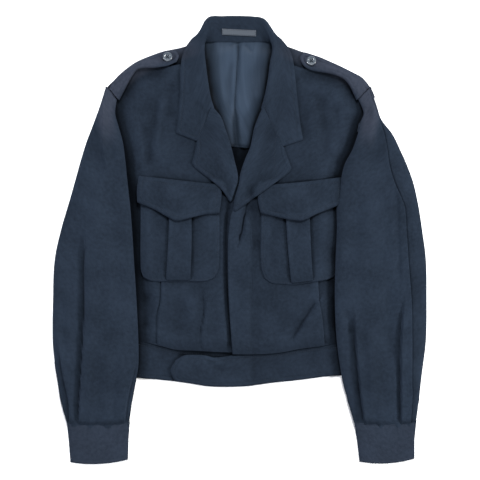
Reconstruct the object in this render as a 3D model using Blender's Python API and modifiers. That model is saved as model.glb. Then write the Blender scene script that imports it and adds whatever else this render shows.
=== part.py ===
"""A battledress jacket laid flat on its back, front up.

Plan sizes in the tables are millimetres from the middle of the jacket: +X to the right of
someone looking down at it, +Y towards the collar, +Z up. Sides in names are the wearer's.
Each cloth piece is an open sheet laid on what is already there and thickened upwards.
"""

import math
from collections import namedtuple

import bmesh
import bpy
import numpy as np
from mathutils import Vector
from mathutils.bvhtree import BVHTree

MM = 0.001
COLLECTION_NAME = "battledress_jacket"

# Driving dimensions, millimetres
SERGE = 1.8
SLEEVE_CLOTH = 2.0
TWO_PLY = 2.2
LINING_CLOTH = 1.0
GAP = 0.35
SEAM = 0.35
PUFF = 1.5
LAPEL_ROLL = 2.6
BUTTON_DIAMETER = 15.2
BUTTON_HOLE = 1.8
BUTTON_HOLE_SPACING = 3.6
DRILL_LENGTH = 10.0
BUTTON_CENTRES = {"right": (-115.7, 291.3), "left": (113.6, 285)}
STAND_SEAM_Y = 318.4
STAND_WIDTH = 33.0
STAND_FOOT = 2.4
STAND_RISE = 3.2
LABEL_LENGTH = 54.0
LABEL_HEIGHT = 9.5
LABEL_TILT = -2.6
LABEL_CENTRE = (-1.5, 330.0)

# The map of what is laid so far
CELL = 3.0
HALF_WIDTH = 320.0
HALF_LENGTH = 380.0
SPREAD_CELLS = 4
SOFTEN_CELLS = 2
BRIDGE_SPREAD_CELLS = 8
BRIDGE_SOFTEN_CELLS = 4
RAY_START = 0.5  # metres, above everything

# Outlines shared by neighbouring pieces, millimetres
SHOULDER_RIGHT = [(-218, 231), (-213, 242), (-200, 255), (-168, 281), (-136, 296), (-115, 302), (-96, 306),
                  (-85, 309), (-56, 314)]
SHOULDER_LEFT = [(51, 314), (75, 308.5), (99, 300), (128, 291), (154, 279), (195, 258), (211, 241),
                 (218, 228)]
SIDE_RIGHT = [(-208, -162), (-218, -97), (-229, -17), (-240, 63), (-245, 98), (-230, 116), (-216, 143),
              (-210, 175), (-211, 204), (-218, 231)]
SIDE_LEFT = [(209, -162), (218, -97), (229, -17), (240, 63), (245, 98), (230, 116), (216, 143), (210, 175),
             (211, 204), (218, 228)]
WAIST_RIGHT = [(-208, -162), (-162, -162.5), (-128, -169), (-104, -175), (-72, -177), (-11, -180), (18, -180)]
WAIST_LEFT = [(-11, -182.5), (32, -182.5), (64, -180), (96, -174), (136, -169), (163, -165.5), (209, -162)]
ROLL_RIGHT = [(-12, 62), (-7, 79), (-3, 98), (-9, 127), (-15, 151), (-23, 175), (-30, 194), (-42.5, 208.5)]
ROLL_LEFT = [(-11, 46), (-9, 63), (-2, 87), (0, 103), (8, 127), (16, 146), (22, 175), (29, 194), (35, 208)]
NECK_RIGHT = [(-50, 242), (-54, 274), (-56, 314)]
NECK_LEFT = [(43, 242), (47, 274), (51, 314)]
HEM_RIGHT = [(-205, -217), (-165, -220), (-128, -223), (-80, -228), (-48, -233), (10, -233)]
HEM_LEFT = [(-101, -225), (-80, -228), (-48, -233), (8, -233), (48, -228), (96, -223), (144, -217),
            (206, -215)]

Sides = namedtuple("Sides", "bottom top left right")
Crease = namedtuple("Crease", "width depth path")
Station = namedtuple("Station", "roll mid edge folded")
SleeveRow = namedtuple("SleeveRow", "y outer inner depth hindarm")
CuffRow = namedtuple("CuffRow", "outer inner sag depth")

# Soft troughs (depth above 0) and ridges (below 0) of the fronts
FRONT_CREASES = [
    Crease(9, 1.2, [(-130, 222), (-134, 180), (-132, 128)]),
    Crease(12, -0.9, [(-150, 215), (-152, 160), (-148, 120)]),
    Crease(10, 1.1, [(128, 215), (136, 170), (138, 125)]),
    Crease(7, 1.3, [(-125, -68), (-126, -105), (-130, -158)]),
    Crease(7, 1.3, [(123, -70), (126, -110), (133, -158)]),
    Crease(12, 1.0, [(-58, -85), (-54, -130), (-60, -170)]),
    Crease(13, 1.1, [(122, -82), (98, -110), (72, -145)]),
    Crease(10, 0.9, [(30, -90), (26, -130), (34, -170)]),
    Crease(8, 1.0, [(10, 55), (6, 20), (-2, 0)]),
]

# Sleeve rows from shoulder to cuff seam; hindarm is the share of the width where the back seam shows
RIGHT_SLEEVE = [
    SleeveRow(231, -217.5, -196, 4.6, 1.0),
    SleeveRow(204, -226, -199, 5.6, 1.0),
    SleeveRow(182, -235, -194, 6.6, 1.0),
    SleeveRow(156, -245, -187, 7.4, 1.0),
    SleeveRow(127, -254, -183, 7.8, 1.0),
    SleeveRow(98, -262, -180, 7.8, 1.0),
    SleeveRow(63, -272, -176, 7.8, 1.0),
    SleeveRow(15, -286, -172, 7.8, 1.0),
    SleeveRow(-33, -296, -169, 7.8, 1.0),
    SleeveRow(-97, -298.5, -165, 7.8, 1.0),
    SleeveRow(-161, -299, -162, 7.8, 1.0),
    SleeveRow(-201, -295, -162, 7.8, 1.0),
    SleeveRow(-225, -291, -166, 7.4, 1.0),
    SleeveRow(-257, -286, -172, 7.2, 1.0),
    SleeveRow(-290, -277, -177, 7.0, 1.0),
]
LEFT_SLEEVE = [
    SleeveRow(229, 218, 188, 4.6, 0.84),
    SleeveRow(204, 224, 197, 5.6, 0.86),
    SleeveRow(188, 228, 192, 6.2, 0.88),
    SleeveRow(169, 243, 188, 7.0, 0.76),
    SleeveRow(143, 256, 179, 7.6, 0.72),
    SleeveRow(118, 267, 166, 7.8, 0.71),
    SleeveRow(90, 277, 160, 7.8, 0.735),
    SleeveRow(54, 285, 154, 7.8, 0.82),
    SleeveRow(15, 291, 154, 7.8, 0.81),
    SleeveRow(-33, 297, 152, 7.8, 0.80),
    SleeveRow(-97, 298, 151, 7.8, 0.83),
    SleeveRow(-161, 297, 154, 7.8, 0.84),
    SleeveRow(-218, 290, 162, 7.8, 0.875),
    SleeveRow(-254, 286, 171, 7.4, 0.90),
    SleeveRow(-290, 282, 182, 7.0, 0.91),
]
CUFF_SEAM_SAG = 4.0
TUBE_MIDDLE = 0.42  # share of a flattened tube's depth at which it is widest
HINDARM_TUCK = 1.3
FOREARM_TUCK = 0.3
SLEEVE_CREASES = [
    Crease(8, 1.6, [(-246, -50), (-248, -130), (-251, -200), (-254, -286)]),
    Crease(7, 1.3, [(-286, -192), (-276, -230), (-268, -284)]),
    Crease(9, 1.0, [(-236, 60), (-243, 0), (-246, -50)]),
    Crease(9, 1.2, [(-214, 214), (-213, 160), (-208, 112)]),
    Crease(8, 1.6, [(186, -130), (190, -215), (198, -288)]),
    Crease(7, 1.3, [(259, -125), (256, -200), (258, -286)]),
    Crease(12, 1.0, [(238, -75), (237, -120), (240, -180)]),
    Crease(9, 1.2, [(206, 206), (205, 150), (198, 100)]),
]

# Cuff rows from the seam to the hand: both ends of a level line across the cuff
RIGHT_CUFF = [
    CuffRow((-277, -291), (-176, -291), 4.0, 6.4),
    CuffRow((-274, -318), (-178, -318), 4.0, 6.2),
    CuffRow((-271, -356), (-179, -351.5), 4.6, 6.0),
]
LEFT_CUFF = [
    CuffRow((282, -291), (182, -291), 4.0, 6.4),
    CuffRow((279, -320), (187, -321), 4.0, 6.2),
    CuffRow((279, -350), (191, -355), 5.0, 6.0),
]

# Collar fall, from the gorge on the wearer's right round the neck to the other gorge. Each point
# has x, y and its lift; folded is 1 where the fall hangs behind the jacket.
COLLAR_STATIONS = [
    Station((-43.6, 209.4, 2.6), (-67.8, 156.9, 0.3), (-101, 170, 0.0), 0),
    Station((-47, 226, 2.8), (-76, 205, 0.7), (-98, 190, 0.0), 0),
    Station((-51, 250, 3.0), (-77, 238, 0.8), (-94.5, 228, 0.0), 0),
    Station((-55, 280, 3.2), (-78, 274, 0.9), (-93.5, 268, 0.0), 0),
    Station((-57, 303, 3.4), (-77, 299, 1.0), (-90, 295, 0.0), 0),
    Station((-57.5, 319, 9.0), (-71, 317.5, 8.2), (-80, 315, 5.2), 0.97),
    Station((-54.5, 336, 9.0), (-62.5, 333, 6.4), (-68, 324, 2.6), 1),
    Station((-47, 350.5, 8.0), (-50, 353.5, 4.8), (-50, 325, 2.0), 1),
    Station((-28, 353.7, 7.0), (-28, 355.0, 4.4), (-27, 322, 2.0), 1),
    Station((-6, 354.2, 6.6), (-6, 355.3, 4.2), (-6, 321, 2.0), 1),
    Station((18, 353.3, 7.0), (18, 354.6, 4.4), (17, 322, 2.0), 1),
    Station((35.5, 349, 8.0), (38, 351, 4.8), (40, 325, 2.0), 1),
    Station((45.5, 333, 9.0), (52.5, 331, 6.4), (58, 323, 2.6), 1),
    Station((51, 318, 9.0), (61.5, 316.5, 8.2), (70, 313.5, 5.2), 0.97),
    Station((52, 302, 3.4), (69, 298, 1.0), (81, 294, 0.0), 0),
    Station((48, 280, 3.2), (69, 273, 0.9), (85.5, 266, 0.0), 0),
    Station((44, 250, 3.0), (69, 238, 0.8), (89.5, 226, 0.0), 0),
    Station((39, 226, 2.8), (70, 203, 0.7), (94, 188, 0.0), 0),
    Station((35.9, 209, 2.6), (67.7, 148.9, 0.3), (99, 159, 0.0), 0),
]
GORGE_SHARE = 5 / 8

Finish = namedtuple("Finish", "colour roughness")
FINISHES = {
    "serge": Finish("#28323F", 0.88),
    "lining": Finish("#3B485B", 0.45),
    "label": Finish("#5B6570", 0.55),
    "button": Finish("#444C54", 0.38),
}


def clear_scene():
    for thing in list(bpy.data.objects):
        bpy.data.objects.remove(thing)


def linear(hex_colour):
    """sRGB hex to the linear values that a shader takes."""
    channels = [int(hex_colour[i : i + 2], 16) / 255 for i in (1, 3, 5)]
    return [c / 12.92 if c <= 0.04045 else ((c + 0.055) / 1.055) ** 2.4 for c in channels] + [1.0]


def make_material(name):
    material = bpy.data.materials.new(name)
    material.use_nodes = True
    shader = material.node_tree.nodes["Principled BSDF"]
    shader.inputs["Base Color"].default_value = linear(FINISHES[name].colour)
    shader.inputs["Roughness"].default_value = FINISHES[name].roughness
    shader.inputs["Metallic"].default_value = 0.0
    return material


class Pile:
    """The height of what is laid so far, on a square map of cells."""

    def __init__(self):
        self.columns = int(2 * HALF_WIDTH / CELL) + 1
        self.rows = int(2 * HALF_LENGTH / CELL) + 1
        self.heights = np.zeros((self.rows, self.columns))
        self.resting = self.heights
        self.bridging = self.heights

    def add(self, thing):
        """Raise the map to the top of a new piece."""
        graph = bpy.context.evaluated_depsgraph_get()
        tree = BVHTree.FromObject(thing, graph)
        corners = thing.evaluated_get(graph).bound_box
        rows = self.cells([corner[1] / MM + HALF_LENGTH for corner in corners], self.rows)
        columns = self.cells([corner[0] / MM + HALF_WIDTH for corner in corners], self.columns)
        for row in rows:
            for column in columns:
                x = (column * CELL - HALF_WIDTH) * MM
                y = (row * CELL - HALF_LENGTH) * MM
                hit = tree.ray_cast(Vector((x, y, RAY_START)), Vector((0, 0, -1)))[0]
                if hit:
                    self.heights[row, column] = max(self.heights[row, column], hit.z / MM)
        self.resting = self.softened(self.spread(self.heights, SPREAD_CELLS), SOFTEN_CELLS)

    @staticmethod
    def cells(places, count):
        """The map's rows or columns that a piece covers."""
        return range(max(int(min(places) / CELL), 0), min(int(max(places) / CELL) + 2, count))

    @staticmethod
    def shifted(heights, cells):
        """The map moved by every step that lies within a disc."""
        for across in range(-cells, cells + 1):
            for along in range(-cells, cells + 1):
                if across**2 + along**2 <= cells**2:
                    yield np.roll(np.roll(heights, across, axis=1), along, axis=0)

    def spread(self, heights, cells):
        return np.max(list(self.shifted(heights, cells)), axis=0)

    def softened(self, heights, cells):
        return np.mean(list(self.shifted(heights, cells)), axis=0)

    def stretch_bridge(self):
        """Set the map that long pieces lie on, which pass wide over steps."""
        self.bridging = self.softened(self.spread(self.heights, BRIDGE_SPREAD_CELLS), BRIDGE_SOFTEN_CELLS)

    def rest(self, x, y):
        """Where the underside of the next piece lies at a point."""
        return self.read(self.resting, x, y)

    def bridge(self, x, y):
        return self.read(self.bridging, x, y)

    def highest(self, x, y, reach):
        """The highest point under a round piece."""
        rows = self.cells([y - reach + HALF_LENGTH, y + reach + HALF_LENGTH], self.rows)
        columns = self.cells([x - reach + HALF_WIDTH, x + reach + HALF_WIDTH], self.columns)
        found = 0.0
        for row in rows:
            for column in columns:
                if math.hypot(column * CELL - HALF_WIDTH - x, row * CELL - HALF_LENGTH - y) <= reach:
                    found = max(found, self.heights[row, column])
        return found

    def read(self, heights, x, y):
        column = min(max((x + HALF_WIDTH) / CELL, 0), self.columns - 1.001)
        row = min(max((y + HALF_LENGTH) / CELL, 0), self.rows - 1.001)
        c, r = int(column), int(row)
        s, t = column - c, row - r
        below = heights[r, c] * (1 - s) + heights[r, c + 1] * s
        above = heights[r + 1, c] * (1 - s) + heights[r + 1, c + 1] * s
        height = below * (1 - t) + above * t
        return height + min(GAP, height)


def spline(points, t):
    """A point on a smooth curve through tuples of any size, t from 0 to 1, even along its chords."""
    spans = [math.dist(a[:2], b[:2]) + 1e-6 for a, b in zip(points, points[1:])]
    ends = [0.0]
    for span in spans:
        ends.append(ends[-1] + span)
    target = min(max(t, 0.0), 1.0) * ends[-1]
    i = min(sum(target > end for end in ends[1:]), len(spans) - 1)
    s = (target - ends[i]) / spans[i]
    a, b = points[i], points[i + 1]

    def slope(j):
        if j in (0, len(points) - 1):
            k = min(j, len(spans) - 1)
            return [(q - p) / spans[k] for p, q in zip(points[k], points[k + 1])]
        return [(q - p) / (spans[j - 1] + spans[j]) for p, q in zip(points[j - 1], points[j + 1])]

    start, end = slope(i), slope(i + 1)
    length = spans[i]
    return tuple(
        a[k] * (1 + 2 * s) * (1 - s) ** 2
        + start[k] * length * s * (1 - s) ** 2
        + b[k] * s**2 * (3 - 2 * s)
        - end[k] * length * s**2 * (1 - s)
        for k in range(len(a))
    )


def patch(sides):
    """Fill four outlines that share their corners: u runs left to right, v bottom to top."""

    def place(u, v):
        bottom, top = spline(sides.bottom, u), spline(sides.top, u)
        left, right = spline(sides.left, v), spline(sides.right, v)
        corners = sides.bottom[0], sides.bottom[-1], sides.top[0], sides.top[-1]
        return tuple(
            (1 - v) * bottom[k] + v * top[k] + (1 - u) * left[k] + u * right[k]
            - (1 - u) * (1 - v) * corners[0][k] - u * (1 - v) * corners[1][k]
            - (1 - u) * v * corners[2][k] - u * v * corners[3][k]
            for k in range(2)
        )

    return place


def smooth_step(t):
    t = min(max(t, 0.0), 1.0)
    return t * t * (3 - 2 * t)


def crease_depth(creases, x, y):
    """How far the soft troughs and ridges lower the cloth at a point."""
    total = 0.0
    for crease in creases:
        near = 1e9
        for start, end in zip(crease.path, crease.path[1:]):
            along = (end[0] - start[0], end[1] - start[1])
            reach = along[0] ** 2 + along[1] ** 2
            share = ((x - start[0]) * along[0] + (y - start[1]) * along[1]) / reach
            share = min(max(share, 0.0), 1.0)
            near = min(near, math.hypot(x - start[0] - share * along[0], y - start[1] - share * along[1]))
        total += crease.depth * math.exp(-((near / crease.width) ** 2))
    return total


def sheet(name, place, columns, rows, thickness, finish):
    """An open grid whose points come from place(u, v) in millimetres, thickened on its upper side."""
    mesh = bpy.data.meshes.new(name)
    grid = bmesh.new()
    bmesh.ops.create_grid(grid, x_segments=columns, y_segments=rows, size=0.5)
    for vertex in grid.verts:
        vertex.co = Vector(place(vertex.co.x + 0.5, vertex.co.y + 0.5)) * MM
    grid.to_mesh(mesh)
    grid.free()
    mesh.shade_smooth()
    thing = bpy.data.objects.new(name, mesh)
    mesh.materials.append(materials[finish])
    wall = thing.modifiers.new("wall", "SOLIDIFY")
    wall.thickness = thickness * MM
    wall.offset = 1.0
    jacket.objects.link(thing)
    return thing


def laid(name, sides, columns, rows, thickness, finish, lift=None):
    """A flat piece laid on the pile; lift(u, v, x, y) adds to its height."""
    outline = patch(sides)

    def place(u, v):
        x, y = outline(u, v)
        return x, y, pile.rest(x, y) + (lift(u, v, x, y) if lift else 0.0)

    thing = sheet(name, place, columns, rows, thickness, finish)
    pile.add(thing)
    return thing


def inside(u, v, margin=0.2):
    """0 at a piece's edges, 1 away from them."""
    return smooth_step(min(u, 1 - u) / margin) * smooth_step(min(v, 1 - v) / margin)


def front_lift(u, v, x, y):
    """Fronts lie a little full between their seams, with their creases."""
    return inside(u, v) * max(PUFF - crease_depth(FRONT_CREASES, x, y), 0.1)


def build_back():
    right_top = SHOULDER_RIGHT + [(-30, 316.5), (-2, 317)]
    left_top = [(26, 316.5)] + SHOULDER_LEFT
    bottom = [(-208, -162), (0, -163), (209, -162)]
    laid("back", Sides(bottom, right_top + left_top, SIDE_RIGHT, SIDE_LEFT), 9, 11, SERGE, "serge")


def build_lining():
    sides = Sides(
        [(-32, 149), (-3, 147), (26, 144)],
        [(-64, 313), (-3, 315.5), (59, 313)],
        [(-32, 149), (-42, 178), (-60, 215), (-66, 260), (-64, 313)],
        [(26, 144), (38, 178), (52, 215), (58, 260), (59, 313)],
    )

    def centre_pleat(u, v, x, y):
        return 1.0 * math.exp(-(((x + 4) / 6) ** 2)) * inside(u, v, 0.1)

    laid("back_lining", sides, 10, 8, LINING_CLOTH, "lining", centre_pleat)


def build_fronts():
    right_edge = [(18, -180), (19, -60), (18, 20), (8, 62)] + ROLL_RIGHT[2:] + NECK_RIGHT
    right = Sides(WAIST_RIGHT, SHOULDER_RIGHT, SIDE_RIGHT, right_edge)
    laid("front_right", right, 14, 17, SERGE, "serge", front_lift)
    left_edge = [(-11, -182.5), (-16, -113), (-18, -65), (-18, -1), (-14, 36)] + ROLL_LEFT + NECK_LEFT
    left = Sides(WAIST_LEFT, SHOULDER_LEFT, left_edge, SIDE_LEFT)
    laid("front_left", left, 14, 17, SERGE, "serge", front_lift)


def build_pockets():
    pockets = {
        "right": {
            "bag": Sides(
                [(-153, -59), (-140, -65), (-120, -66), (-80, -66), (-55, -65), (-41, -60)],
                [(-157, 90), (-96, 86), (-34, 80)],
                [(-153, -59), (-157, -46), (-157, 52), (-157, 90)],
                [(-41, -60), (-35, -45), (-34, 39), (-34, 80)],
            ),
            "pleat": Sides(
                [(-117, -64), (-80, -64)],
                [(-112, 76), (-78, 73)],
                [(-117, -64), (-114, -17), (-112, 34), (-112, 76)],
                [(-80, -64), (-78, -17), (-78, 34), (-78, 73)],
            ),
            "flap": Sides(
                [(-162, 60), (-136, 49), (-107, 33), (-99, 31), (-77, 36), (-56, 41), (-34, 43)],
                [(-160, 100), (-96, 93), (-31, 86)],
                [(-162, 60), (-162.5, 78), (-160, 100)],
                [(-34, 43), (-31, 65), (-31, 86)],
            ),
        },
        "left": {
            "bag": Sides(
                [(40, -61), (50, -68), (64, -70), (88, -71), (120, -66), (147, -60), (157, -52)],
                [(35, 80), (90, 85), (160, 91)],
                [(40, -61), (35, -45), (34, -17), (35, 39), (35, 80)],
                [(157, -52), (160, -36), (160, 55), (160, 91)],
            ),
            "pleat": Sides(
                [(82, -69), (115, -65)],
                [(73, 73), (109, 78)],
                [(82, -69), (77, -17), (74, 33), (73, 73)],
                [(115, -65), (112, -17), (110, 34), (109, 78)],
            ),
            "flap": Sides(
                [(34, 43), (51, 39), (72, 34), (96, 31), (104, 33), (120, 41), (154, 55), (163, 60)],
                [(31, 84), (48, 86), (96, 90), (154, 97), (160, 98)],
                [(34, 43), (30, 62), (31, 84)],
                [(163, 60), (162.5, 80), (160, 98)],
            ),
        },
    }
    for side, pieces in pockets.items():
        laid(f"pocket_bag_{side}", pieces["bag"], 7, 7, SERGE, "serge")
        laid(f"pocket_pleat_{side}", pieces["pleat"], 2, 7, SERGE, "serge")
        laid(f"pocket_flap_{side}", pieces["flap"], 12, 5, TWO_PLY, "serge")


def build_lapels():
    right = Sides(
        [(-75, 121), (-70, 114), (-32, 84), (-12, 62)],
        [(-67, 156), (-42.5, 208.5)],
        [(-75, 121), (-70, 140), (-67, 156)],
        ROLL_RIGHT,
    )
    left = Sides(
        [(-11, 46), (16, 63), (48, 86), (77, 108), (80, 114)],
        [(35, 208), (67, 148)],
        ROLL_LEFT,
        [(80, 114), (74, 130), (67, 148)],
    )

    def right_roll(u, v, x, y):
        return LAPEL_ROLL * smooth_step((u - 0.45) / 0.5) * smooth_step(v / 0.3)

    def left_roll(u, v, x, y):
        return LAPEL_ROLL * smooth_step((0.55 - u) / 0.5) * smooth_step(v / 0.3)

    laid("lapel_right", right, 6, 10, TWO_PLY, "serge", right_roll)
    laid("lapel_left", left, 6, 10, TWO_PLY, "serge", left_roll)


def stand_height(y):
    """The underside of the stand, which leans up towards the roll."""
    return STAND_FOOT + STAND_RISE * smooth_step((y - STAND_SEAM_Y) / STAND_WIDTH)


def build_collar():
    def fall(u, v):
        """u from the roll to the free edge, v along the collar."""
        along = v * (len(COLLAR_STATIONS) - 1)
        first = min(int(along), len(COLLAR_STATIONS) - 2)
        share = along - first
        ends = []
        for station in COLLAR_STATIONS[first : first + 2]:
            line = [station.roll, station.mid, station.edge]
            if u <= GORGE_SHARE:
                point = between(line[0], line[1], u / GORGE_SHARE)
            else:
                point = between(line[1], line[2], (u - GORGE_SHARE) / (1 - GORGE_SHARE))
            ends.append((*point, station.folded))
        x, y, lift, folded = between(ends[0], ends[1], share)
        return x, y, lift + (1 - folded) * pile.rest(x, y)

    collar_fall = sheet("collar_fall", fall, 8, len(COLLAR_STATIONS) - 1, SLEEVE_CLOTH, "serge")
    flip_sheet(collar_fall)
    pile.add(collar_fall)
    stand = patch(Sides(
        [(-54, 318.6), (-2, 318.2), (48.5, 318.6)],
        [(-46.5, 346), (-28, 350.5), (-6, 351.5), (16, 350.3), (34, 344.5)],
        [(-54, 318.6), (-52, 333), (-46.5, 346)],
        [(48.5, 318.6), (43, 331), (34, 344.5)],
    ))

    def stand_place(u, v):
        x, y = stand(u, v)
        return x, y, stand_height(y)

    pile.add(sheet("collar_stand", stand_place, 10, 3, SERGE, "serge"))


def between(start, end, share):
    return tuple(a + (b - a) * share for a, b in zip(start, end))


def build_label():
    def place(u, v):
        x = LABEL_CENTRE[0] + (u - 0.5) * LABEL_LENGTH
        y = LABEL_CENTRE[1] + (v - 0.5) * LABEL_HEIGHT + (u - 0.5) * LABEL_TILT
        return x, y, stand_height(y) + SERGE + GAP

    pile.add(sheet("neck_label", place, 6, 2, LINING_CLOTH, "label"))


def build_back_band():
    back = Sides(
        [(-203, -213), (-80, -224), (0, -229), (80, -224), (204, -211)],
        [(-207, -162 - SEAM), (0, -163 - SEAM), (208, -162 - SEAM)],
        [(-203, -213), (-207, -162 - SEAM)],
        [(204, -211), (208, -162 - SEAM)],
    )

    def back_place(u, v):
        return (*patch(back)(u, v), 0.0)

    pile.add(sheet("waistband_back", back_place, 10, 2, SERGE, "serge"))


def build_front_bands():
    right = Sides(
        HEM_RIGHT,
        [(x, y - SEAM - 0.2) for x, y in WAIST_RIGHT[:-2]] + [(-30, -180.5), (10, -181)],
        [(-205, -217), (-208, -162 - SEAM - 0.2)],
        [(10, -233), (10, -181)],
    )
    laid("waistband_right", right, 12, 3, TWO_PLY, "serge")
    left = Sides(
        HEM_LEFT,
        [(-101, -194), (-88, -186.5), (-72, -185.5), (-56, -186.5), (-40, -190), (-11, -186.5)]
        + [(x, y - SEAM - 0.2) for x, y in WAIST_LEFT[1:]],
        [(-101, -225), (-107, -217), (-109, -208), (-101, -194)],
        [(206, -215), (209, -162 - SEAM - 0.2)],
    )
    laid("waistband_left", left, 20, 3, TWO_PLY, "serge")


def ring_point(inner, outer, depth, s):
    """A flattened tube's outline: s runs 0 to 1 over the top from inner to outer, and 1 to 2 below.

    Returns x, y, the height over what it lies on, and how far up its side that is."""
    across = (1 - math.cos(math.pi * s)) / 2
    fullness = math.sqrt(max(1 - abs(2 * across - 1) ** 8, 0.0))
    middle = TUBE_MIDDLE * depth
    rise = (depth - middle) if math.sin(math.pi * s) >= 0 else -middle
    x, y = between(inner, outer, across)
    return x, y, middle + rise * fullness, across


def tube_panel(name, line, start, end, columns, rows, cloth, under):
    """Part of a flattened tube: line(v) gives inner, outer, sag and depth; start(v) and end(v) bound s."""

    def place(u, v):
        inner, outer, sag, depth = line(v)
        s = end(v) + (start(v) - end(v)) * u
        x, y, height, across = ring_point(inner, outer, depth, s)
        y -= sag * 4 * across * (1 - across)
        upper = math.sin(math.pi * s) > 0
        full = smooth_step(height / depth)
        if upper:
            height -= full * crease_depth(SLEEVE_CREASES, x, y)
        return x, y, under(x, y) + height

    thing = sheet(name, place, columns, rows, cloth, "serge")
    thing.modifiers["wall"].offset = -1.0
    return thing


def on_table(x, y):
    return 0.0


def flip_sheet(thing):
    """Turn an open sheet's faces over, so that its wall grows to the other side."""
    thing.data.flip_normals()


def build_sleeves():
    pile.stretch_bridge()
    for side, table in (("right", RIGHT_SLEEVE), ("left", LEFT_SLEEVE)):
        # The 0 stands where spline looks for a second plan value, so chords are measured along y
        facts = [(row.y, 0.0, row.inner, row.outer, row.depth, row.hindarm) for row in table]

        def line(v, facts=facts):
            y, _, inner, outer, depth, _ = spline(facts, v)
            sag = CUFF_SEAM_SAG * smooth_step((v - 0.9) / 0.1)
            return (inner, y), (outer, y), sag, depth

        def hindarm(v, facts=facts):
            share = spline(facts, v)[5]
            if share >= 0.999:
                return HINDARM_TUCK
            return math.acos(1 - 2 * share) / math.pi

        def seam_step(v):
            inner, outer, _, _ = line(v)
            return 0.8 * SEAM / (math.dist(inner, outer) * 0.6)

        top = tube_panel(f"top_sleeve_{side}", line, lambda v: -FOREARM_TUCK, hindarm, 15, 22, SLEEVE_CLOTH,
                         pile.bridge)
        under = tube_panel(
            f"under_sleeve_{side}",
            line,
            lambda v: hindarm(v) + seam_step(v),
            lambda v: 2 - FOREARM_TUCK - seam_step(v),
            8 if side == "right" else 12,
            22,
            SLEEVE_CLOTH,
            pile.bridge,
        )
        for thing in (top, under):
            if side == "right":
                flip_sheet(thing)
        pile.add(top)
        pile.add(under)


def build_cuffs():
    for side, table in (("right", RIGHT_CUFF), ("left", LEFT_CUFF)):

        def line(v, table=table):
            place = v * (len(table) - 1)
            first = min(int(place), len(table) - 2)
            share = place - first
            a, b = table[first], table[first + 1]
            sag = a.sag + (b.sag - a.sag) * share
            depth = a.depth + (b.depth - a.depth) * share
            return between(a.inner, b.inner, share), between(a.outer, b.outer, share), sag, depth

        cuff = tube_panel(f"cuff_{side}", line, lambda v: -0.5, lambda v: 1.485, 24, 3, TWO_PLY, on_table)
        if side == "right":
            flip_sheet(cuff)
        pile.add(cuff)


def build_straps():
    right = Sides(
        [(-194, 223), (-185, 240), (-176, 257), (-166, 271), (-155, 275), (-136, 275.5), (-115, 278),
         (-103, 284)],
        [(-207, 239), (-199, 253.5), (-185, 267), (-168, 279.5), (-150, 288.5), (-130, 296.5), (-115, 300.5),
         (-104, 300.5)],
        [(-194, 223), (-207, 239)],
        [(-103, 284), (-98.5, 292), (-104, 300.5)],
    )
    left = Sides(
        [(99.5, 283), (106, 275), (117, 270.5), (144, 266), (165, 258), (176, 246), (184, 230), (187, 223)],
        [(103, 297.5), (128, 289.5), (154, 277.5), (180, 264.5), (195, 256), (205, 242)],
        [(99.5, 283), (98, 291), (103, 297.5)],
        [(187, 223), (205, 242)],
    )
    laid("shoulder_strap_right", right, 11, 3, TWO_PLY, "serge")
    laid("shoulder_strap_left", left, 11, 3, TWO_PLY, "serge")


def build_buttons():
    half = BUTTON_DIAMETER / 2
    profile = [(0, 2.0), (0.5 * half, 2.0), (0.66 * half, 2.9), (0.85 * half, 3.1), (0.97 * half, 2.4),
               (half, 1.4), (0.86 * half, 0.0), (0, 0)]
    for side, (x, y) in BUTTON_CENTRES.items():
        level = pile.highest(x, y, half) + GAP
        mesh = bpy.data.meshes.new(f"strap_button_{side}")
        turned = bmesh.new()
        points = [turned.verts.new((r * MM, 0, z * MM)) for r, z in profile]
        for start, end in zip(points, points[1:]):
            turned.edges.new((start, end))
        turned.to_mesh(mesh)
        turned.free()
        button = bpy.data.objects.new(f"strap_button_{side}", mesh)
        button.location = (x * MM, y * MM, level * MM)
        mesh.materials.append(materials["button"])
        jacket.objects.link(button)
        turn = button.modifiers.new("turn", "SCREW")
        turn.angle = 2 * math.pi
        turn.steps = 20
        turn.render_steps = 20
        turn.use_merge_vertices = True
        turn.merge_threshold = 0.00001
        for i in range(4):
            angle = math.pi / 4 + i * math.pi / 2
            offset = BUTTON_HOLE_SPACING / math.sqrt(2)
            drill_mesh = bpy.data.meshes.new("drill")
            drill_shape = bmesh.new()
            bmesh.ops.create_cone(drill_shape, cap_ends=True, segments=8, radius1=BUTTON_HOLE / 2 * MM,
                                  radius2=BUTTON_HOLE / 2 * MM, depth=DRILL_LENGTH * MM)
            drill_shape.to_mesh(drill_mesh)
            drill_shape.free()
            drill = bpy.data.objects.new(f"drill_{side}_{i}", drill_mesh)
            spot = (x + offset * math.cos(angle), y + offset * math.sin(angle), level)
            drill.location = Vector(spot) * MM
            drill.hide_render = True
            drill.display_type = "WIRE"
            cutters.objects.link(drill)
            hole = button.modifiers.new(f"hole {i}", "BOOLEAN")
            hole.operation = "DIFFERENCE"
            hole.solver = "EXACT"
            hole.object = drill


def centre_on_origin():
    """Put the middle of the jacket's box over the origin."""
    bpy.context.view_layer.update()
    graph = bpy.context.evaluated_depsgraph_get()
    corners = []
    for thing in jacket.objects:
        shown = thing.evaluated_get(graph)
        corners += [shown.matrix_world @ Vector(corner) for corner in shown.bound_box]
    middle = [(min(c[k] for c in corners) + max(c[k] for c in corners)) / 2 for k in (0, 1)]
    lowest = min(c.z for c in corners)
    for thing in list(jacket.objects) + list(cutters.objects):
        thing.location -= Vector((middle[0], middle[1], lowest))


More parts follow.
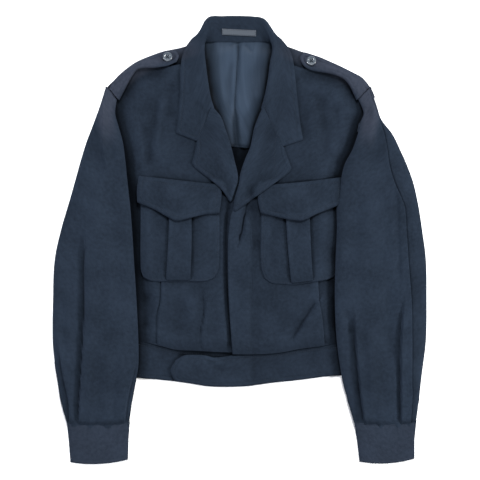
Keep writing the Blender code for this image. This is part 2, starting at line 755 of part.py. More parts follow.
clear_scene()
jacket = bpy.data.collections.new(COLLECTION_NAME)
cutters = bpy.data.collections.new("cutters")
bpy.context.scene.collection.children.link(jacket)
bpy.context.scene.collection.children.link(cutters)
materials = {name: make_material(name) for name in FINISHES}
pile = Pile()
build_back()
build_back_band()
build_lining()
build_fronts()
build_pockets()
build_lapels()
build_collar()
build_label()
build_front_bands()
build_sleeves()
build_cuffs()
build_straps()
build_buttons()
centre_on_origin()
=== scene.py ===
"""A battledress jacket of dark navy wool serge, laid flat on its back and seen from straight above.

Plan sizes in the tables are millimetres from the middle of the jacket: +X to the right of the
view, +Y towards the collar, +Z up. Sides in names are the wearer's. Each cloth piece is a grid of
points laid on what is already there, given its thickness, its folded edges and its creases.
"""

import math
from collections import namedtuple

import bmesh
import bpy
import numpy as np
from mathutils import Matrix, Vector


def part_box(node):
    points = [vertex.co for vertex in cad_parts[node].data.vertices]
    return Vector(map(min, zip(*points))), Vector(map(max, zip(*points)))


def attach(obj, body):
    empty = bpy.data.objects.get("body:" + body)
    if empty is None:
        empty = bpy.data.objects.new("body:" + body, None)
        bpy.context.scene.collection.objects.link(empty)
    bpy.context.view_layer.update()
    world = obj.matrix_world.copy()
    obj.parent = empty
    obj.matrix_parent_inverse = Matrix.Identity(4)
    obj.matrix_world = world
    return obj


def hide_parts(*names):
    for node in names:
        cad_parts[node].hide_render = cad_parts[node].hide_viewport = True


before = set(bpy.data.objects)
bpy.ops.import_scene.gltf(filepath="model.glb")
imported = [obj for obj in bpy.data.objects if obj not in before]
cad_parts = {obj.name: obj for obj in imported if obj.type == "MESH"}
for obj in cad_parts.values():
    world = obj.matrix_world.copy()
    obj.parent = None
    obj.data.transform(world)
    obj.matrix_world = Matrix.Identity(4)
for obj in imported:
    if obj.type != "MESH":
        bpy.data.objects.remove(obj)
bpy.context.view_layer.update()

MM = 0.001
PHOTO_SIZE = 480
PHOTO_SCALE = 1.6  # millimetres to a pixel of the photograph
PHOTO_CENTRE = (0.0, -0.8)
# Table places of two edges that the solids have too
BACK_LEAST_X = -245.3
LEFT_BAND_LEAST_Y = -233.6

# Cloth, millimetres
SERGE = 1.8
SLEEVE_CLOTH = 2.0
TWO_PLY = 2.2
LINING_CLOTH = 1.0
GAP = 0.3
SEAM = 0.35
FINE_STEP = 0.9
CHEST_FULLNESS = 9.0
HOLLOW_WIDTH = 31.0
LAPEL_ROLL = 2.4
STITCH_PITCH = 3.0
STITCH_LENGTH = 2.2
STITCH_WIDTH = 0.8
STITCH_HEIGHT = 0.6
GROOVE_DEPTH = 0.42
GROOVE_WIDTH = 1.1
WELT_HEIGHT = 0.28

# Painted light and shade: the height between a hollow's full painted shade and the palest painted highlight,
# and shares of the paler colour painted as a highlight on the cuffs and shoulders
PAINTED_SHADE_RANGE = 11.0
CUFF_PAINTED_HIGHLIGHT = 0.24
SHOULDER_PAINTED_HIGHLIGHT = 0.8
PAINTED_HIGHLIGHT_HALF_WIDTH = 6
PAINTED_HIGHLIGHT_FADE = 13

# The map of what is laid so far
CELL = 2.0
HALF_WIDTH = 320.0
HALF_LENGTH = 380.0
SPREAD_CELLS = 3
SOFTEN_CELLS = 2
BRIDGE_SPREAD_CELLS = 8
BRIDGE_SOFTEN_CELLS = 6
BRIDGE_CAP = 5.5

# Outlines shared by neighbouring pieces
SHOULDER_RIGHT = [(-218, 231), (-213, 242), (-200, 255), (-168, 281), (-136, 296), (-115, 302), (-96, 306),
                  (-85, 309), (-56, 314)]
SHOULDER_LEFT = [(51, 314), (75, 308.5), (99, 300), (128, 291), (154, 279), (195, 258), (209, 241),
                 (214.5, 229)]
SIDE_RIGHT = [(-208, -162), (-218, -97), (-229, -17), (-240, 63), (-243, 92), (-234, 118), (-219, 146),
              (-210, 175), (-211, 204), (-218, 231)]
SIDE_LEFT = [(209, -162), (218, -97), (229, -17), (240, 63), (243, 92), (234, 118), (219, 146), (210, 175),
             (211, 204), (214.5, 229)]
WAIST_RIGHT = [(-208, -162), (-162, -162.5), (-128, -169), (-104, -175), (-72, -177), (-11, -180),
               (18, -180)]
WAIST_LEFT = [(-11, -182.5), (32, -182.5), (64, -180), (96, -174), (136, -169), (163, -165.5), (209, -162)]
ROLL_RIGHT = [(-12, 62), (-7, 79), (-3, 98), (-9, 127), (-15, 151), (-23, 175), (-30, 194), (-42.5, 208.5)]
ROLL_LEFT = [(-11, 46), (-9, 63), (-2, 87), (0, 103), (8, 127), (16, 146), (22, 175), (29, 194), (35, 208)]
NECK_RIGHT = [(-50, 242), (-54, 274), (-56, 314)]
NECK_LEFT = [(43, 242), (47, 274), (51, 314)]
HEM_RIGHT = [(-205, -217), (-165, -220), (-128, -223), (-80, -228), (-48, -233), (10, -233)]
HEM_LEFT = [(-101, -225), (-80, -228), (-48, -233), (8, -233), (48, -228), (96, -223), (144, -217),
            (206, -215)]

Sides = namedtuple("Sides", "bottom top left right")
Crease = namedtuple("Crease", "width depth path sharp", defaults=[1.0])
Pleat = namedtuple("Pleat", "rise drop reach path")
Station = namedtuple("Station", "roll mid edge folded seam", defaults=[0, None])
SleeveRow = namedtuple("SleeveRow", "y outer inner depth hindarm", defaults=[1.0])
CuffRow = namedtuple("CuffRow", "outer inner sag depth")

# Patch pockets: a bag, a box pleat on it and a flap over both
POCKETS = {
    "right": {
        "bag": Sides(
            [(-153, -59), (-140, -65), (-120, -66), (-80, -66), (-55, -65), (-41, -60)],
            [(-157, 90), (-96, 86), (-34, 80)],
            [(-153, -59), (-157, -46), (-157, 52), (-157, 90)],
            [(-41, -60), (-35, -45), (-34, 39), (-34, 80)],
        ),
        "pleat": Sides(
            [(-117, -64), (-80, -64)],
            [(-112, 76), (-78, 73)],
            [(-117, -64), (-114, -17), (-112, 34), (-112, 76)],
            [(-80, -64), (-78, -17), (-78, 34), (-78, 73)],
        ),
        "flap": Sides(
            [(-162, 60), (-136, 49), (-107, 33), (-99, 31), (-77, 36), (-56, 41), (-34, 43)],
            [(-160, 100), (-96, 93), (-31, 86)],
            [(-162, 60), (-162.5, 78), (-160, 100)],
            [(-34, 43), (-31, 65), (-31, 86)],
        ),
    },
    "left": {
        "bag": Sides(
            [(40, -61), (50, -68), (64, -70), (88, -71), (120, -66), (147, -60), (157, -52)],
            [(35, 80), (90, 85), (160, 91)],
            [(40, -61), (35, -45), (34, -17), (35, 39), (35, 80)],
            [(157, -52), (160, -36), (160, 55), (160, 91)],
        ),
        "pleat": Sides(
            [(82, -69), (115, -65)],
            [(73, 73), (109, 78)],
            [(82, -69), (77, -17), (74, 33), (73, 73)],
            [(115, -65), (112, -17), (110, 34), (109, 78)],
        ),
        "flap": Sides(
            [(34, 43), (51, 39), (72, 34), (96, 31), (104, 33), (120, 41), (154, 55), (163, 60)],
            [(31, 84), (48, 86), (96, 90), (154, 97), (160, 98)],
            [(34, 43), (30, 62), (31, 84)],
            [(163, 60), (162.5, 80), (160, 98)],
        ),
    },
}

# Creases: width and depth in millimetres (a ridge's is below 0), the path, and for an uneven one the share
# of the width that the side to the path's left has
FRONT_CREASES = [
    Crease(8, 2.4, [(-128, 228), (-133, 205), (-138, 170), (-143, 136), (-146, 110)]),
    Crease(7, -2.9, [(-121, 232), (-127, 205), (-132, 170), (-136, 128)], 0.7),
    Crease(8, 2.5, [(-152, 190), (-150, 150), (-147, 112)]),
    Crease(7, 2.2, [(-108, 255), (-112, 215), (-110, 185)]),
    Crease(9, 2.4, [(126, 235), (134, 195), (138, 160), (137, 112)]),
    Crease(9, -2.0, [(112, 232), (116, 190), (118, 150)]),
    Crease(9, 2.0, [(152, 222), (154, 180), (152, 140)]),
    Crease(9, -1.2, [(-74, -84), (-76, -120), (-76, -160)]),
    Crease(10, 1.4, [(-98, -80), (-96, -120), (-100, -165)]),
    Crease(9, 1.2, [(30, -88), (25, -124), (33, -168)]),
    Crease(6, 3.6, [(8, 58), (5, 28), (1, 8), (-6, -8)], 0.5),
    Crease(8, 2.4, [(16, 66), (21, 38), (25, 10), (24, -26)]),
    Crease(7, 2.4, [(128, -86), (112, -112), (96, -137), (76, -170)], 0.8),
    Crease(5, 5.0, [(-14, 84), (-19, 52), (-22, 10), (-22, -40), (-20, -100), (-16, -150), (-14, -225)]),
    Crease(9, 2.9, [(-150, -78), (-146, -110), (-152, -150)]),
    Crease(9, 2.7, [(156, -84), (152, -112), (160, -150)]),
    Crease(10, 2.3, [(54, 30), (50, 0), (52, -60)]),
]
# The shoulders stand up in a ridge under the straps
SHOULDER_RIDGES = [
    Crease(9, -4.5, [(-226, 196), (-208, 228), (-192, 247), (-180, 261), (-167, 273), (-150, 280),
                     (-134, 284)]),
    Crease(9, -4.5, [(226, 192), (207, 227), (194, 244), (180, 256), (164, 265), (148, 271), (133, 276)]),
]
# Where the chest sinks beside a sleeve and below a strap; the chest is to the left of each path
HOLLOWS = [
    [(-136, 275.5), (-155, 275), (-166, 271), (-176, 257), (-185, 240), (-194, 223), (-199, 204),
     (-194, 182),
     (-187, 156), (-183, 127), (-180, 98), (-176, 63), (-172, 15), (-169, -33), (-165, -97), (-162, -161),
     (-162, -201)],
    [(162, -218), (154, -161), (151, -97), (152, -33), (154, 15), (154, 54), (160, 90), (166, 118),
     (179, 143),
     (188, 169), (192, 188), (197, 204), (188, 222), (184, 230), (176, 246), (165, 258), (144, 266),
     (117, 270.5)],
]
# Where a paler, greyer colour is painted along the shoulders as a highlight
PAINTED_HIGHLIGHT_SHOULDERS = [
    [(-50, 312), (-96, 299), (-131, 290), (-157, 277.6), (-182, 260), (-201.6, 239), (-211, 214),
     (-214, 194),
     (-209, 170), (-204, 140)],
    [(50, 312), (92, 295), (128, 284), (154, 273), (179, 256), (198, 237), (207, 216), (208, 196),
     (203, 172),
     (196, 136)],
]
# Pleats and darts: how far the side to the path's left stands up and the other sinks
DARTS = [
    Pleat(1.0, 1.8, 11, [(136, -84), (121, -106), (102, -134), (80, -172)]),
    Pleat(1.0, 2.6, 9, [(-58, -76), (-55, -112), (-61, -150), (-58, -182)]),
    Pleat(1.2, 3.3, 5, [(-125, -36), (-125, -97), (-130, -121), (-131, -210)]),
    Pleat(1.6, 2.7, 6, [(137, -210), (130, -129), (125, -97), (122, -40)]),
    Pleat(1.2, 3.9, 8, [(-9, -24), (-2, 4), (4, 28), (9, 70)]),
]
SLEEVE_PLEATS = [
    Pleat(2.8, 7.6, 17, [(-247, 34), (-246.4, -40), (-246.4, -96), (-248, -136), (-249.6, -168),
                         (-251.2, -200),
                        (-256, -276), (-257, -350)]),
    Pleat(2.2, 7.0, 12, [(-292, -150), (-282, -216), (-277.5, -237), (-273, -259), (-272, -350)]),
    Pleat(2.2, 6.4, 9, [(-188, -350), (-182.5, -276), (-176.5, -240), (-170.5, -216), (-164, -180)]),
    Pleat(2.8, 7.8, 18, [(181, -108), (184.6, -170), (187.2, -201), (190.4, -233), (193.6, -258),
                         (198.4, -292),
                         (200, -350)]),
    Pleat(2.6, 6.8, 16, [(262, -84), (256.5, -160), (256.5, -241), (257.6, -350)]),
]
SLEEVE_CREASES = [
    Crease(9, -2.9, [(-234, -60), (-236, -130), (-239, -200), (-243, -283)]),
    Crease(10, 1.0, [(-218, -120), (-222, -200), (-226, -284)]),
    Crease(9, 1.0, [(-196, -150), (-198, -210), (-202, -288)]),
    Crease(7, -1.9, [(-186, -170), (-188, -220), (-192, -284)]),
    Crease(7, 2.9, [(-282, -80), (-284, -140), (-278, -190)]),
    Crease(3.4, -3.5, [(-218.4, 236), (-217.6, 190), (-217.6, 151), (-214.4, 130), (-208, 100)], 1.6),
    Crease(8, 1.8, [(-230, 200), (-231, 150), (-228, 110), (-220, 76)]),
    Crease(6, 2.1, [(-206, 186), (-205, 150), (-200, 118)]),
    Crease(11, 1.7, [(-196, 120), (-204, 70), (-200, 20), (-206, -40)]),
    Crease(10, -2.2, [(-222, 90), (-228, 40), (-226, -10)]),
    Crease(13, 1.7, [(-262, 60), (-270, 10), (-272, -50), (-266, -120)]),
    Crease(11, 1.4, [(-214, -40), (-222, -90), (-218, -150)]),
    Crease(8, 1.6, [(-190, -20), (-194, -70), (-188, -120)]),
    Crease(9, -2.6, [(206, -120), (208, -200), (213, -284)]),
    Crease(8, 1.0, [(222, -150), (226, -220), (232, -286)]),
    Crease(11, 4.4, [(238, -50), (236, -110), (238, -150), (243, -210)]),
    Crease(6, 2.4, [(168, -112), (173, -132), (178, -154)]),
    Crease(7, 3.5, [(206, 216), (203, 196), (192, 180), (186, 164)], 0.7),
    Crease(8, -2.9, [(214, 226), (214, 196), (208, 166), (200, 140)]),
    Crease(9, 2.9, [(224, 196), (222, 160), (212, 130), (200, 104)]),
    Crease(12, 1.7, [(180, 96), (184, 50), (178, 0), (182, -50)]),
    Crease(10, -2.2, [(202, 90), (206, 40), (202, -10)]),
    Crease(12, 1.7, [(226, 80), (232, 20), (228, -30), (232, -70)]),
    Crease(6, 2.6, [(246, 100), (250, 40), (252, -20), (254, -80)], 0.6),
]

# How the head of each sleeve slants to the strap's end: inner y, outer x and outer y from the first row
SLEEVE_HEADS = {"right": (-4.0, 3.5, 13.0), "left": (-3.5, -9.0, 14.5)}

# Sleeve rows from shoulder to cuff seam; hindarm is the share of the width where the back seam shows
RIGHT_SLEEVE = [
    SleeveRow(231, -217.5, -196, 4.6),
    SleeveRow(204, -226, -199, 5.6),
    SleeveRow(182, -235, -194, 6.6),
    SleeveRow(156, -245, -187, 7.4),
    SleeveRow(127, -254, -183, 7.8),
    SleeveRow(98, -262, -180, 7.8),
    SleeveRow(63, -272, -176, 7.8),
    SleeveRow(15, -286, -172, 7.8),
    SleeveRow(-33, -296, -169, 7.8),
    SleeveRow(-97, -298.5, -165, 7.8),
    SleeveRow(-161, -299, -162, 7.8),
    SleeveRow(-201, -295, -162, 7.8),
    SleeveRow(-225, -291, -166, 7.4),
    SleeveRow(-257, -286, -172, 7.2),
    SleeveRow(-297, -275, -178, 7.0),
]
LEFT_SLEEVE = [
    SleeveRow(229, 218, 188, 4.6, 0.84),
    SleeveRow(204, 224, 197, 5.6, 0.86),
    SleeveRow(188, 228, 192, 6.2, 0.88),
    SleeveRow(169, 243, 188, 7.0, 0.76),
    SleeveRow(143, 256, 179, 7.6, 0.72),
    SleeveRow(118, 267, 166, 7.8, 0.71),
    SleeveRow(90, 277, 160, 7.8, 0.735),
    SleeveRow(54, 285, 154, 7.8, 0.82),
    SleeveRow(15, 291, 154, 7.8, 0.81),
    SleeveRow(-33, 297, 152, 7.8, 0.80),
    SleeveRow(-97, 298, 151, 7.8, 0.83),
    SleeveRow(-161, 297, 154, 7.8, 0.84),
    SleeveRow(-218, 290, 162, 7.8, 0.875),
    SleeveRow(-254, 286, 171, 7.4, 0.90),
    SleeveRow(-297, 280.5, 183.5, 7.0, 0.91),
]
CUFF_SEAM_SAG = 4.0
SLEEVE_FULLNESS = 8.0
SLEEVE_COLUMNS = 110
HIDDEN_COLUMNS = 44
SLEEVE_FULLNESS_SHARES = [0.25, 0.7, 0.9, 1, 1, 1, 1, 1, 1, 1, 1, 1, 1, 0.9, 0.45]  # from shoulder to cuff
CUFF_FULLNESS = 2.6
HINDARM_TUCK = 1.3
HINDARM_STAND = 1.7
HINDARM_SINK = 4.0
FOREARM_TUCK = 0.3
ARMHOLE_DRAW = 0.3
WRIST_DRAW = 4.4
CUFF_LENGTH = 64
CUFF_ROUND = 230
CUFF_ROWS = {"bottom": 2.5, "top": 5.0}  # rows of stitches, from the seam and from the hand
# The cuff's cloth starts at the middle of its underside and goes once round; a whole round would be 2
CUFF_START = -0.5
CUFF_WRAP = 1.985

# Cuff rows from the seam to the hand: both ends of a level line across the cuff
RIGHT_CUFF = [
    CuffRow((-277, -291), (-176, -291), 4.0, 6.4),
    CuffRow((-274, -318), (-178, -318), 4.0, 6.2),
    CuffRow((-271, -356), (-179, -351.5), 4.6, 6.0),
]
LEFT_CUFF = [
    CuffRow((282, -291), (182, -291), 4.0, 6.4),
    CuffRow((279, -320), (187, -321), 4.0, 6.2),
    CuffRow((279, -350), (191, -355), 5.0, 6.0),
]

# Collar, from the gorge on the wearer's right round the neck to the other gorge. Roll, mid and edge
# have x, y and the lift of the under face; folded is 1 where the fall hangs behind the jacket, and
# seam is where the stand meets the neck there.
COLLAR_STATIONS = [
    Station((-43.9, 208.0, 2.6), (-66.3, 156.3, 0.3), (-101, 170, 0.0)),
    Station((-49.5, 226, 2.8), (-76, 205, 0.7), (-98, 190, 0.0)),
    Station((-53.5, 250, 3.0), (-77, 238, 0.8), (-94.5, 228, 0.0)),
    Station((-57.5, 280, 3.2), (-78, 274, 0.9), (-93.5, 268, 0.0)),
    Station((-59.5, 303, 3.6), (-77, 299, 1.2), (-90, 295, 0.0)),
    Station((-59.5, 319, 9.0), (-71, 317.5, 8.2), (-80, 315, 5.2), 0.97, (-56.5, 317.6, 3.4)),
    Station((-55.5, 336, 9.0), (-62.5, 333, 6.4), (-68, 324, 2.6), 1, (-50, 318.4, 2.7)),
    Station((-47.5, 350.5, 8.0), (-50, 353.5, 4.8), (-50, 325, 2.0), 1, (-39, 318.3, 2.4)),
    Station((-28, 353.4, 7.2), (-28, 355.0, 4.4), (-27, 322, 2.0), 1, (-23, 318.1, 2.4)),
    Station((-6, 354.0, 6.8), (-6, 355.3, 4.2), (-6, 321, 2.0), 1, (-5, 318.0, 2.4)),
    Station((18, 353.0, 7.2), (18, 354.6, 4.4), (17, 322, 2.0), 1, (14, 318.1, 2.4)),
    Station((35.5, 349, 8.0), (38, 351, 4.8), (40, 325, 2.0), 1, (33, 318.3, 2.4)),
    Station((46.5, 333, 9.0), (52.5, 331, 6.4), (58, 323, 2.6), 1, (44, 318.4, 2.7)),
    Station((53, 318, 9.0), (61.5, 316.5, 8.2), (70, 313.5, 5.2), 0.97, (51, 317.0, 3.4)),
    Station((54.5, 302, 3.6), (69, 298, 1.2), (81, 294, 0.0)),
    Station((50.5, 280, 3.2), (69, 273, 0.9), (85.5, 266, 0.0)),
    Station((46.5, 250, 3.0), (69, 238, 0.8), (89.5, 226, 0.0)),
    Station((41.5, 226, 2.8), (70, 203, 0.7), (94, 188, 0.0)),
    Station((36.2, 207.5, 2.6), (66.3, 148.2, 0.3), (99, 159, 0.0)),
]
COLLAR_LIFT = 3.0
FALL_WIDTH = 48
FALL_MID_SHARE = 0.375
NOTCH_SHARE = 0.33
NOTCH_FADE = 0.08
ROLL_LINES = 9
STAND_LINES = 13

# The label on the stand, its text left out
LABEL_LENGTH = 54.0
LABEL_HEIGHT = 9.5
LABEL_TILT = -2.6
LABEL_CENTRE = (-1.5, 330.0)
LABEL_THICKNESS = 0.6

BUTTONS = {"right": (-115.7, 291.3), "left": (113.6, 285)}
BUTTON_HOLE_SPACING = 3.6
BUTTON_DISH = 0.85
STRAND_OFFSET = 0.32
STRAND_LENGTH = 1.55 * BUTTON_HOLE_SPACING
STRAND_WIDTH = 0.68
STRAND_HEIGHT = 0.84

# Photographed colours, sRGB
COLOURS = {
    "serge_dark": "#131921",
    "serge_light": "#1F2732",
    "serge_nap": "#3A4659",
    # The paler, greyer colour painted as a highlight on the shoulders and cuffs
    "serge_painted_highlight": "#2C303A",
    "serge_bloom": "#8296BA",
    "lining_dark": "#1A222C",
    "lining_light": "#2B3542",
    "label_ground": "#282F38",
    "label_weft": "#363E48",
    "button_dark": "#30373F",
    "button_light": "#4A535C",
    "thread": "#0C131C",
    "paper": "#FAFAFA",
}

# The stage: a floor and round lamps, with each lamp's place and size in metres, watts and colour
FLOOR_HALF = 6.0
FLOOR_DROP = 0.4
SKY_STRENGTH = 0.16
LIGHTS = {
    "overhead": ((0.6, 4.2, 4.6), 2.2, 660, "#FFFFFF"),
    "left_fill": ((-3.2, -0.9, 1.6), 0.8, 130, "#F4F7FF"),
    "right_fill": ((3.2, -0.7, 1.6), 0.8, 175, "#FFFFFF"),
}


def linear(hex_colour):
    """sRGB hex to the linear values that a shader takes."""
    channels = [int(hex_colour[i : i + 2], 16) / 255 for i in (1, 3, 5)]
    return [c / 12.92 if c <= 0.04045 else ((c + 0.055) / 1.055) ** 2.4 for c in channels] + [1.0]


def add_node(tree, kind, links=None, values=None, **settings):
    """One shader node with its settings, its sockets' values and the outputs that feed it."""
    node = tree.nodes.new(kind)
    for name, value in settings.items():
        setattr(node, name, value)
    for name, value in (values or {}).items():
        node.inputs[name].default_value = value
    for name, output in (links or {}).items():
        tree.links.new(output, node.inputs[name])
    return node


def new_material(name, finish):
    """A material with these values for its surface shader's sockets."""
    material = bpy.data.materials.new(name)
    material.use_nodes = True
    shader = material.node_tree.nodes["Principled BSDF"]
    for socket, value in finish.items():
        shader.inputs[socket].default_value = value
    return material, material.node_tree, shader


def cloth_plan(tree):
    """Places along and across the cloth, in metres."""
    return add_node(tree, "ShaderNodeUVMap", uv_map="cloth").outputs["UV"]


def noise(tree, place, grain, detail, roughness=0.5, distortion=0.0):
    """Uneven patches with a grain in millimetres."""
    values = {"Scale": 1 / (grain * MM), "Detail": detail, "Roughness": roughness, "Distortion": distortion}
    return add_node(tree, "ShaderNodeTexNoise", {"Vector": place}, values).outputs["Fac"]


def carried(tree, value, start, end, low, high):
    """A value carried from the range start to end over to the range low to high."""
    values = {"From Min": start, "From Max": end, "To Min": low, "To Max": high}
    return add_node(tree, "ShaderNodeMapRange", {"Value": value}, values).outputs["Result"]


def joined(tree, operation, *terms):
    return add_node(tree, "ShaderNodeMath", dict(enumerate(terms)), operation=operation).outputs["Value"]


def mixed(tree, share, first, second):
    """Two colours mixed by a share; each is a photographed colour's name or another node's output."""
    mix = add_node(tree, "ShaderNodeMix", {"Factor": share}, data_type="RGBA", blend_type="MIX")
    for socket, colour in (("A", first), ("B", second)):
        if isinstance(colour, str):
            mix.inputs[socket].default_value = linear(COLOURS[colour])
        else:
            tree.links.new(colour, mix.inputs[socket])
    return mix.outputs["Result"]


def emboss(tree, shader, height, strength, distance):
    """Relief that only the light shows, its distance in millimetres."""
    values = {"Strength": strength, "Distance": distance * MM}
    bump = add_node(tree, "ShaderNodeBump", {"Height": height}, values)
    tree.links.new(bump.outputs["Normal"], shader.inputs["Normal"])


def apply_painted_light_and_shade(tree, shader, colour, full, least, most):
    """Scale a colour by the painted light and shade attribute: painted shade darkens hollows and painted
    highlight makes ridges paler.
    """
    painted_shading = add_node(tree, "ShaderNodeAttribute", attribute_name="painted_light_and_shade").outputs["Fac"]
    depth = carried(tree, painted_shading, 0.0, full, least, most)
    painted_colour = add_node(tree, "ShaderNodeVectorMath", {0: colour, "Scale": depth}, operation="SCALE")
    tree.links.new(painted_colour.outputs["Vector"], shader.inputs["Base Color"])


def wool_serge():
    """Wool serge, milled and lightly napped: matt, a fine diagonal twill under a soft grey bloom."""
    finish = {"Roughness": 0.92, "IOR": 1.45, "Specular IOR Level": 0.02, "Sheen Weight": 0.04,
              "Sheen Roughness": 0.55, "Sheen Tint": linear(COLOURS["serge_bloom"])}
    material, tree, shader = new_material("wool_serge", finish)
    plan = cloth_plan(tree)
    # A real serge twill has a line every 1 mm or so; drawn at 1.7 mm so that it shows up close
    twill_pitch = 1.7 * MM
    twill = add_node(tree, "ShaderNodeTexWave", {"Vector": plan},
                     {"Scale": 2 * math.pi / (10 * math.sqrt(2) * twill_pitch), "Distortion": 0.6,
                      "Detail": 1.0, "Detail Scale": 2.0}, wave_type="BANDS", bands_direction="DIAGONAL")
    yarn = noise(tree, plan, 1.1, 3.0, 0.6)
    milling = noise(tree, plan, 5.5, 4.0, 0.65)
    wear = noise(tree, plan, 60, 3.0, 0.55)
    shade = carried(tree, joined(tree, "ADD", milling, wear), 0.75, 1.25, 0.15, 0.85)
    ground = mixed(tree, shade, "serge_dark", "serge_light")
    napped = mixed(tree, carried(tree, yarn, 0.66, 0.80, 0.0, 0.16), ground, "serge_nap")
    # Painted highlight: a paler, greyer colour mixed in along the shoulders, and a little at the cuffs
    painted_highlight = add_node(tree, "ShaderNodeAttribute", attribute_name="painted_highlight").outputs["Fac"]
    highlight_share = joined(tree, "MULTIPLY", painted_highlight, carried(tree, milling, 0.35, 0.65, 0.7, 1.2))
    # Painted shade and highlight: the colour is darker in hollows and paler on ridges
    apply_painted_light_and_shade(tree, shader, mixed(tree, highlight_share, napped, "serge_painted_highlight"), 0.56, 0.14, 1.05)
    relief = joined(tree, "MULTIPLY_ADD", yarn, twill.outputs["Fac"], milling)
    emboss(tree, shader, relief, 0.55, 0.35)
    return material


def satin_lining():
    """Viscose satin lining: smooth, with a soft gloss along its warp and slight puckers."""
    finish = {"Roughness": 0.5, "IOR": 1.5, "Specular IOR Level": 0.025, "Anisotropic": 0.4}
    material, tree, shader = new_material("satin_lining", finish)
    stretch = add_node(tree, "ShaderNodeMapping", {"Vector": cloth_plan(tree)}, {"Scale": (1.0, 0.06, 1.0)})
    # Warp ends lie about 0.15 mm apart; drawn at 0.9 mm
    warp = noise(tree, stretch.outputs["Vector"], 0.9, 2.0)
    drape = noise(tree, stretch.outputs["Vector"], 9, 3.0, 0.55)
    # Painted shade and highlight: the lining is darker in its hollows and paler on its ridges
    apply_painted_light_and_shade(tree, shader, mixed(tree, drape, "lining_dark", "lining_light"), 0.6, 0.1, 1.3)
    emboss(tree, shader, joined(tree, "ADD", warp, drape), 0.4, 0.25)
    return material


def woven_label():
    """Woven ribbon label: a fine rep of weft bars, left plain."""
    material, tree, shader = new_material("woven_label", {"Roughness": 0.6, "Sheen Weight": 0.1})
    rep_pitch = 0.8 * MM
    values = {"Scale": 2 * math.pi / (20 * rep_pitch), "Distortion": 0.3}
    rep = add_node(tree, "ShaderNodeTexWave", {"Vector": cloth_plan(tree)}, values, bands_direction="Y")
    ground = mixed(tree, rep.outputs["Fac"], "label_ground", "label_weft")
    tree.links.new(ground, shader.inputs["Base Color"])
    emboss(tree, shader, rep.outputs["Fac"], 0.4, 0.12)
    return material


def moulded_button():
    """Compression-moulded plastic button: dark grey, faintly mottled, satin from polishing."""
    finish = {"Roughness": 0.36, "IOR": 1.52, "Coat Weight": 0.15}
    material, tree, shader = new_material("moulded_button", finish)
    place = add_node(tree, "ShaderNodeTexCoord").outputs["Object"]
    ground = mixed(tree, noise(tree, place, 3, 4.0, distortion=0.8), "button_dark", "button_light")
    tree.links.new(ground, shader.inputs["Base Color"])
    emboss(tree, shader, noise(tree, place, 0.6, 2.0), 0.15, 0.1)
    return material


def spun_thread():
    """Spun sewing thread, dyed to the cloth: matt, two plies."""
    material, tree, shader = new_material("spun_thread", {"Roughness": 0.8, "Specular IOR Level": 0.15})
    place = add_node(tree, "ShaderNodeTexCoord").outputs["Object"]
    ground = mixed(tree, noise(tree, place, 0.5, 2.0), "thread", "serge_light")
    tree.links.new(ground, shader.inputs["Base Color"])
    return material


def painted_floor():
    """Matt white paint: an even pale ground that takes the jacket's soft shadow."""
    finish = {"Base Color": linear(COLOURS["paper"]), "Roughness": 0.9, "Specular IOR Level": 0.1}
    return new_material("pale_floor", finish)[0]


def smooth_step(t):
    t = np.clip(t, 0.0, 1.0)
    return t * t * (3 - 2 * t)


def hermite(values, slopes, i, s, span=1.0):
    """Smooth curves through a table's values, at shares s of the way from entries i to the next."""
    return (
        values[i] * (1 + 2 * s) * (1 - s) ** 2
        + slopes[i] * span * s * (1 - s) ** 2
        + values[i + 1] * s**2 * (3 - 2 * s)
        - slopes[i + 1] * span * s**2 * (1 - s)
    )


def curve(points, shares):
    """Places on a smooth curve through the points, at shares of its length along the chords."""
    p = np.array(points, float)
    spans = np.linalg.norm(np.diff(p[:, :2], axis=0), axis=1) + 1e-6
    ends = np.concatenate([[0.0], np.cumsum(spans)])
    slopes = np.empty_like(p)
    slopes[1:-1] = (p[2:] - p[:-2]) / (spans[:-1] + spans[1:])[:, None]
    slopes[0] = (p[1] - p[0]) / spans[0]
    slopes[-1] = (p[-1] - p[-2]) / spans[-1]
    target = np.clip(shares, 0, 1) * ends[-1]
    i = np.clip(np.searchsorted(ends, target, side="right") - 1, 0, len(spans) - 1)
    s = ((target - ends[i]) / spans[i])[:, None]
    return hermite(p, slopes, i, s, spans[i][:, None])


def smooth_table(values, at):
    """Values of a table of stations at shares of its length, on smooth curves through them."""
    count = len(values)
    place = np.clip(at, 0, 1) * (count - 1)
    i = np.clip(place.astype(int), 0, count - 2)
    return hermite(values, np.gradient(values, axis=0), i, (place - i)[:, None])


def grid_lines(length, step, close=()):
    """Shares of a length for grid lines: step apart, closer at both ends and in the stretches named."""
    rim = np.array([0, 0.7, 1.5, 2.5, 3.7, 5.0, 6.5, 8.5])
    count = max(int((length - 2 * rim[-1]) / step), 1)
    middle = np.linspace(rim[-1], length - rim[-1], count + 1)
    lines = np.concatenate([rim[:-1], middle, length - rim[-2::-1]]) / length
    for start, end in close:
        fine = np.linspace(start, end, int((end - start) * length / FINE_STEP) + 2)
        before, after = lines[lines < start - 0.3 / length], lines[lines > end + 0.3 / length]
        lines = np.concatenate([before, fine, after])
    return lines


def size_of(points):
    p = np.array(points, float)[:, :2]
    return np.linalg.norm(np.diff(p, axis=0), axis=1).sum()


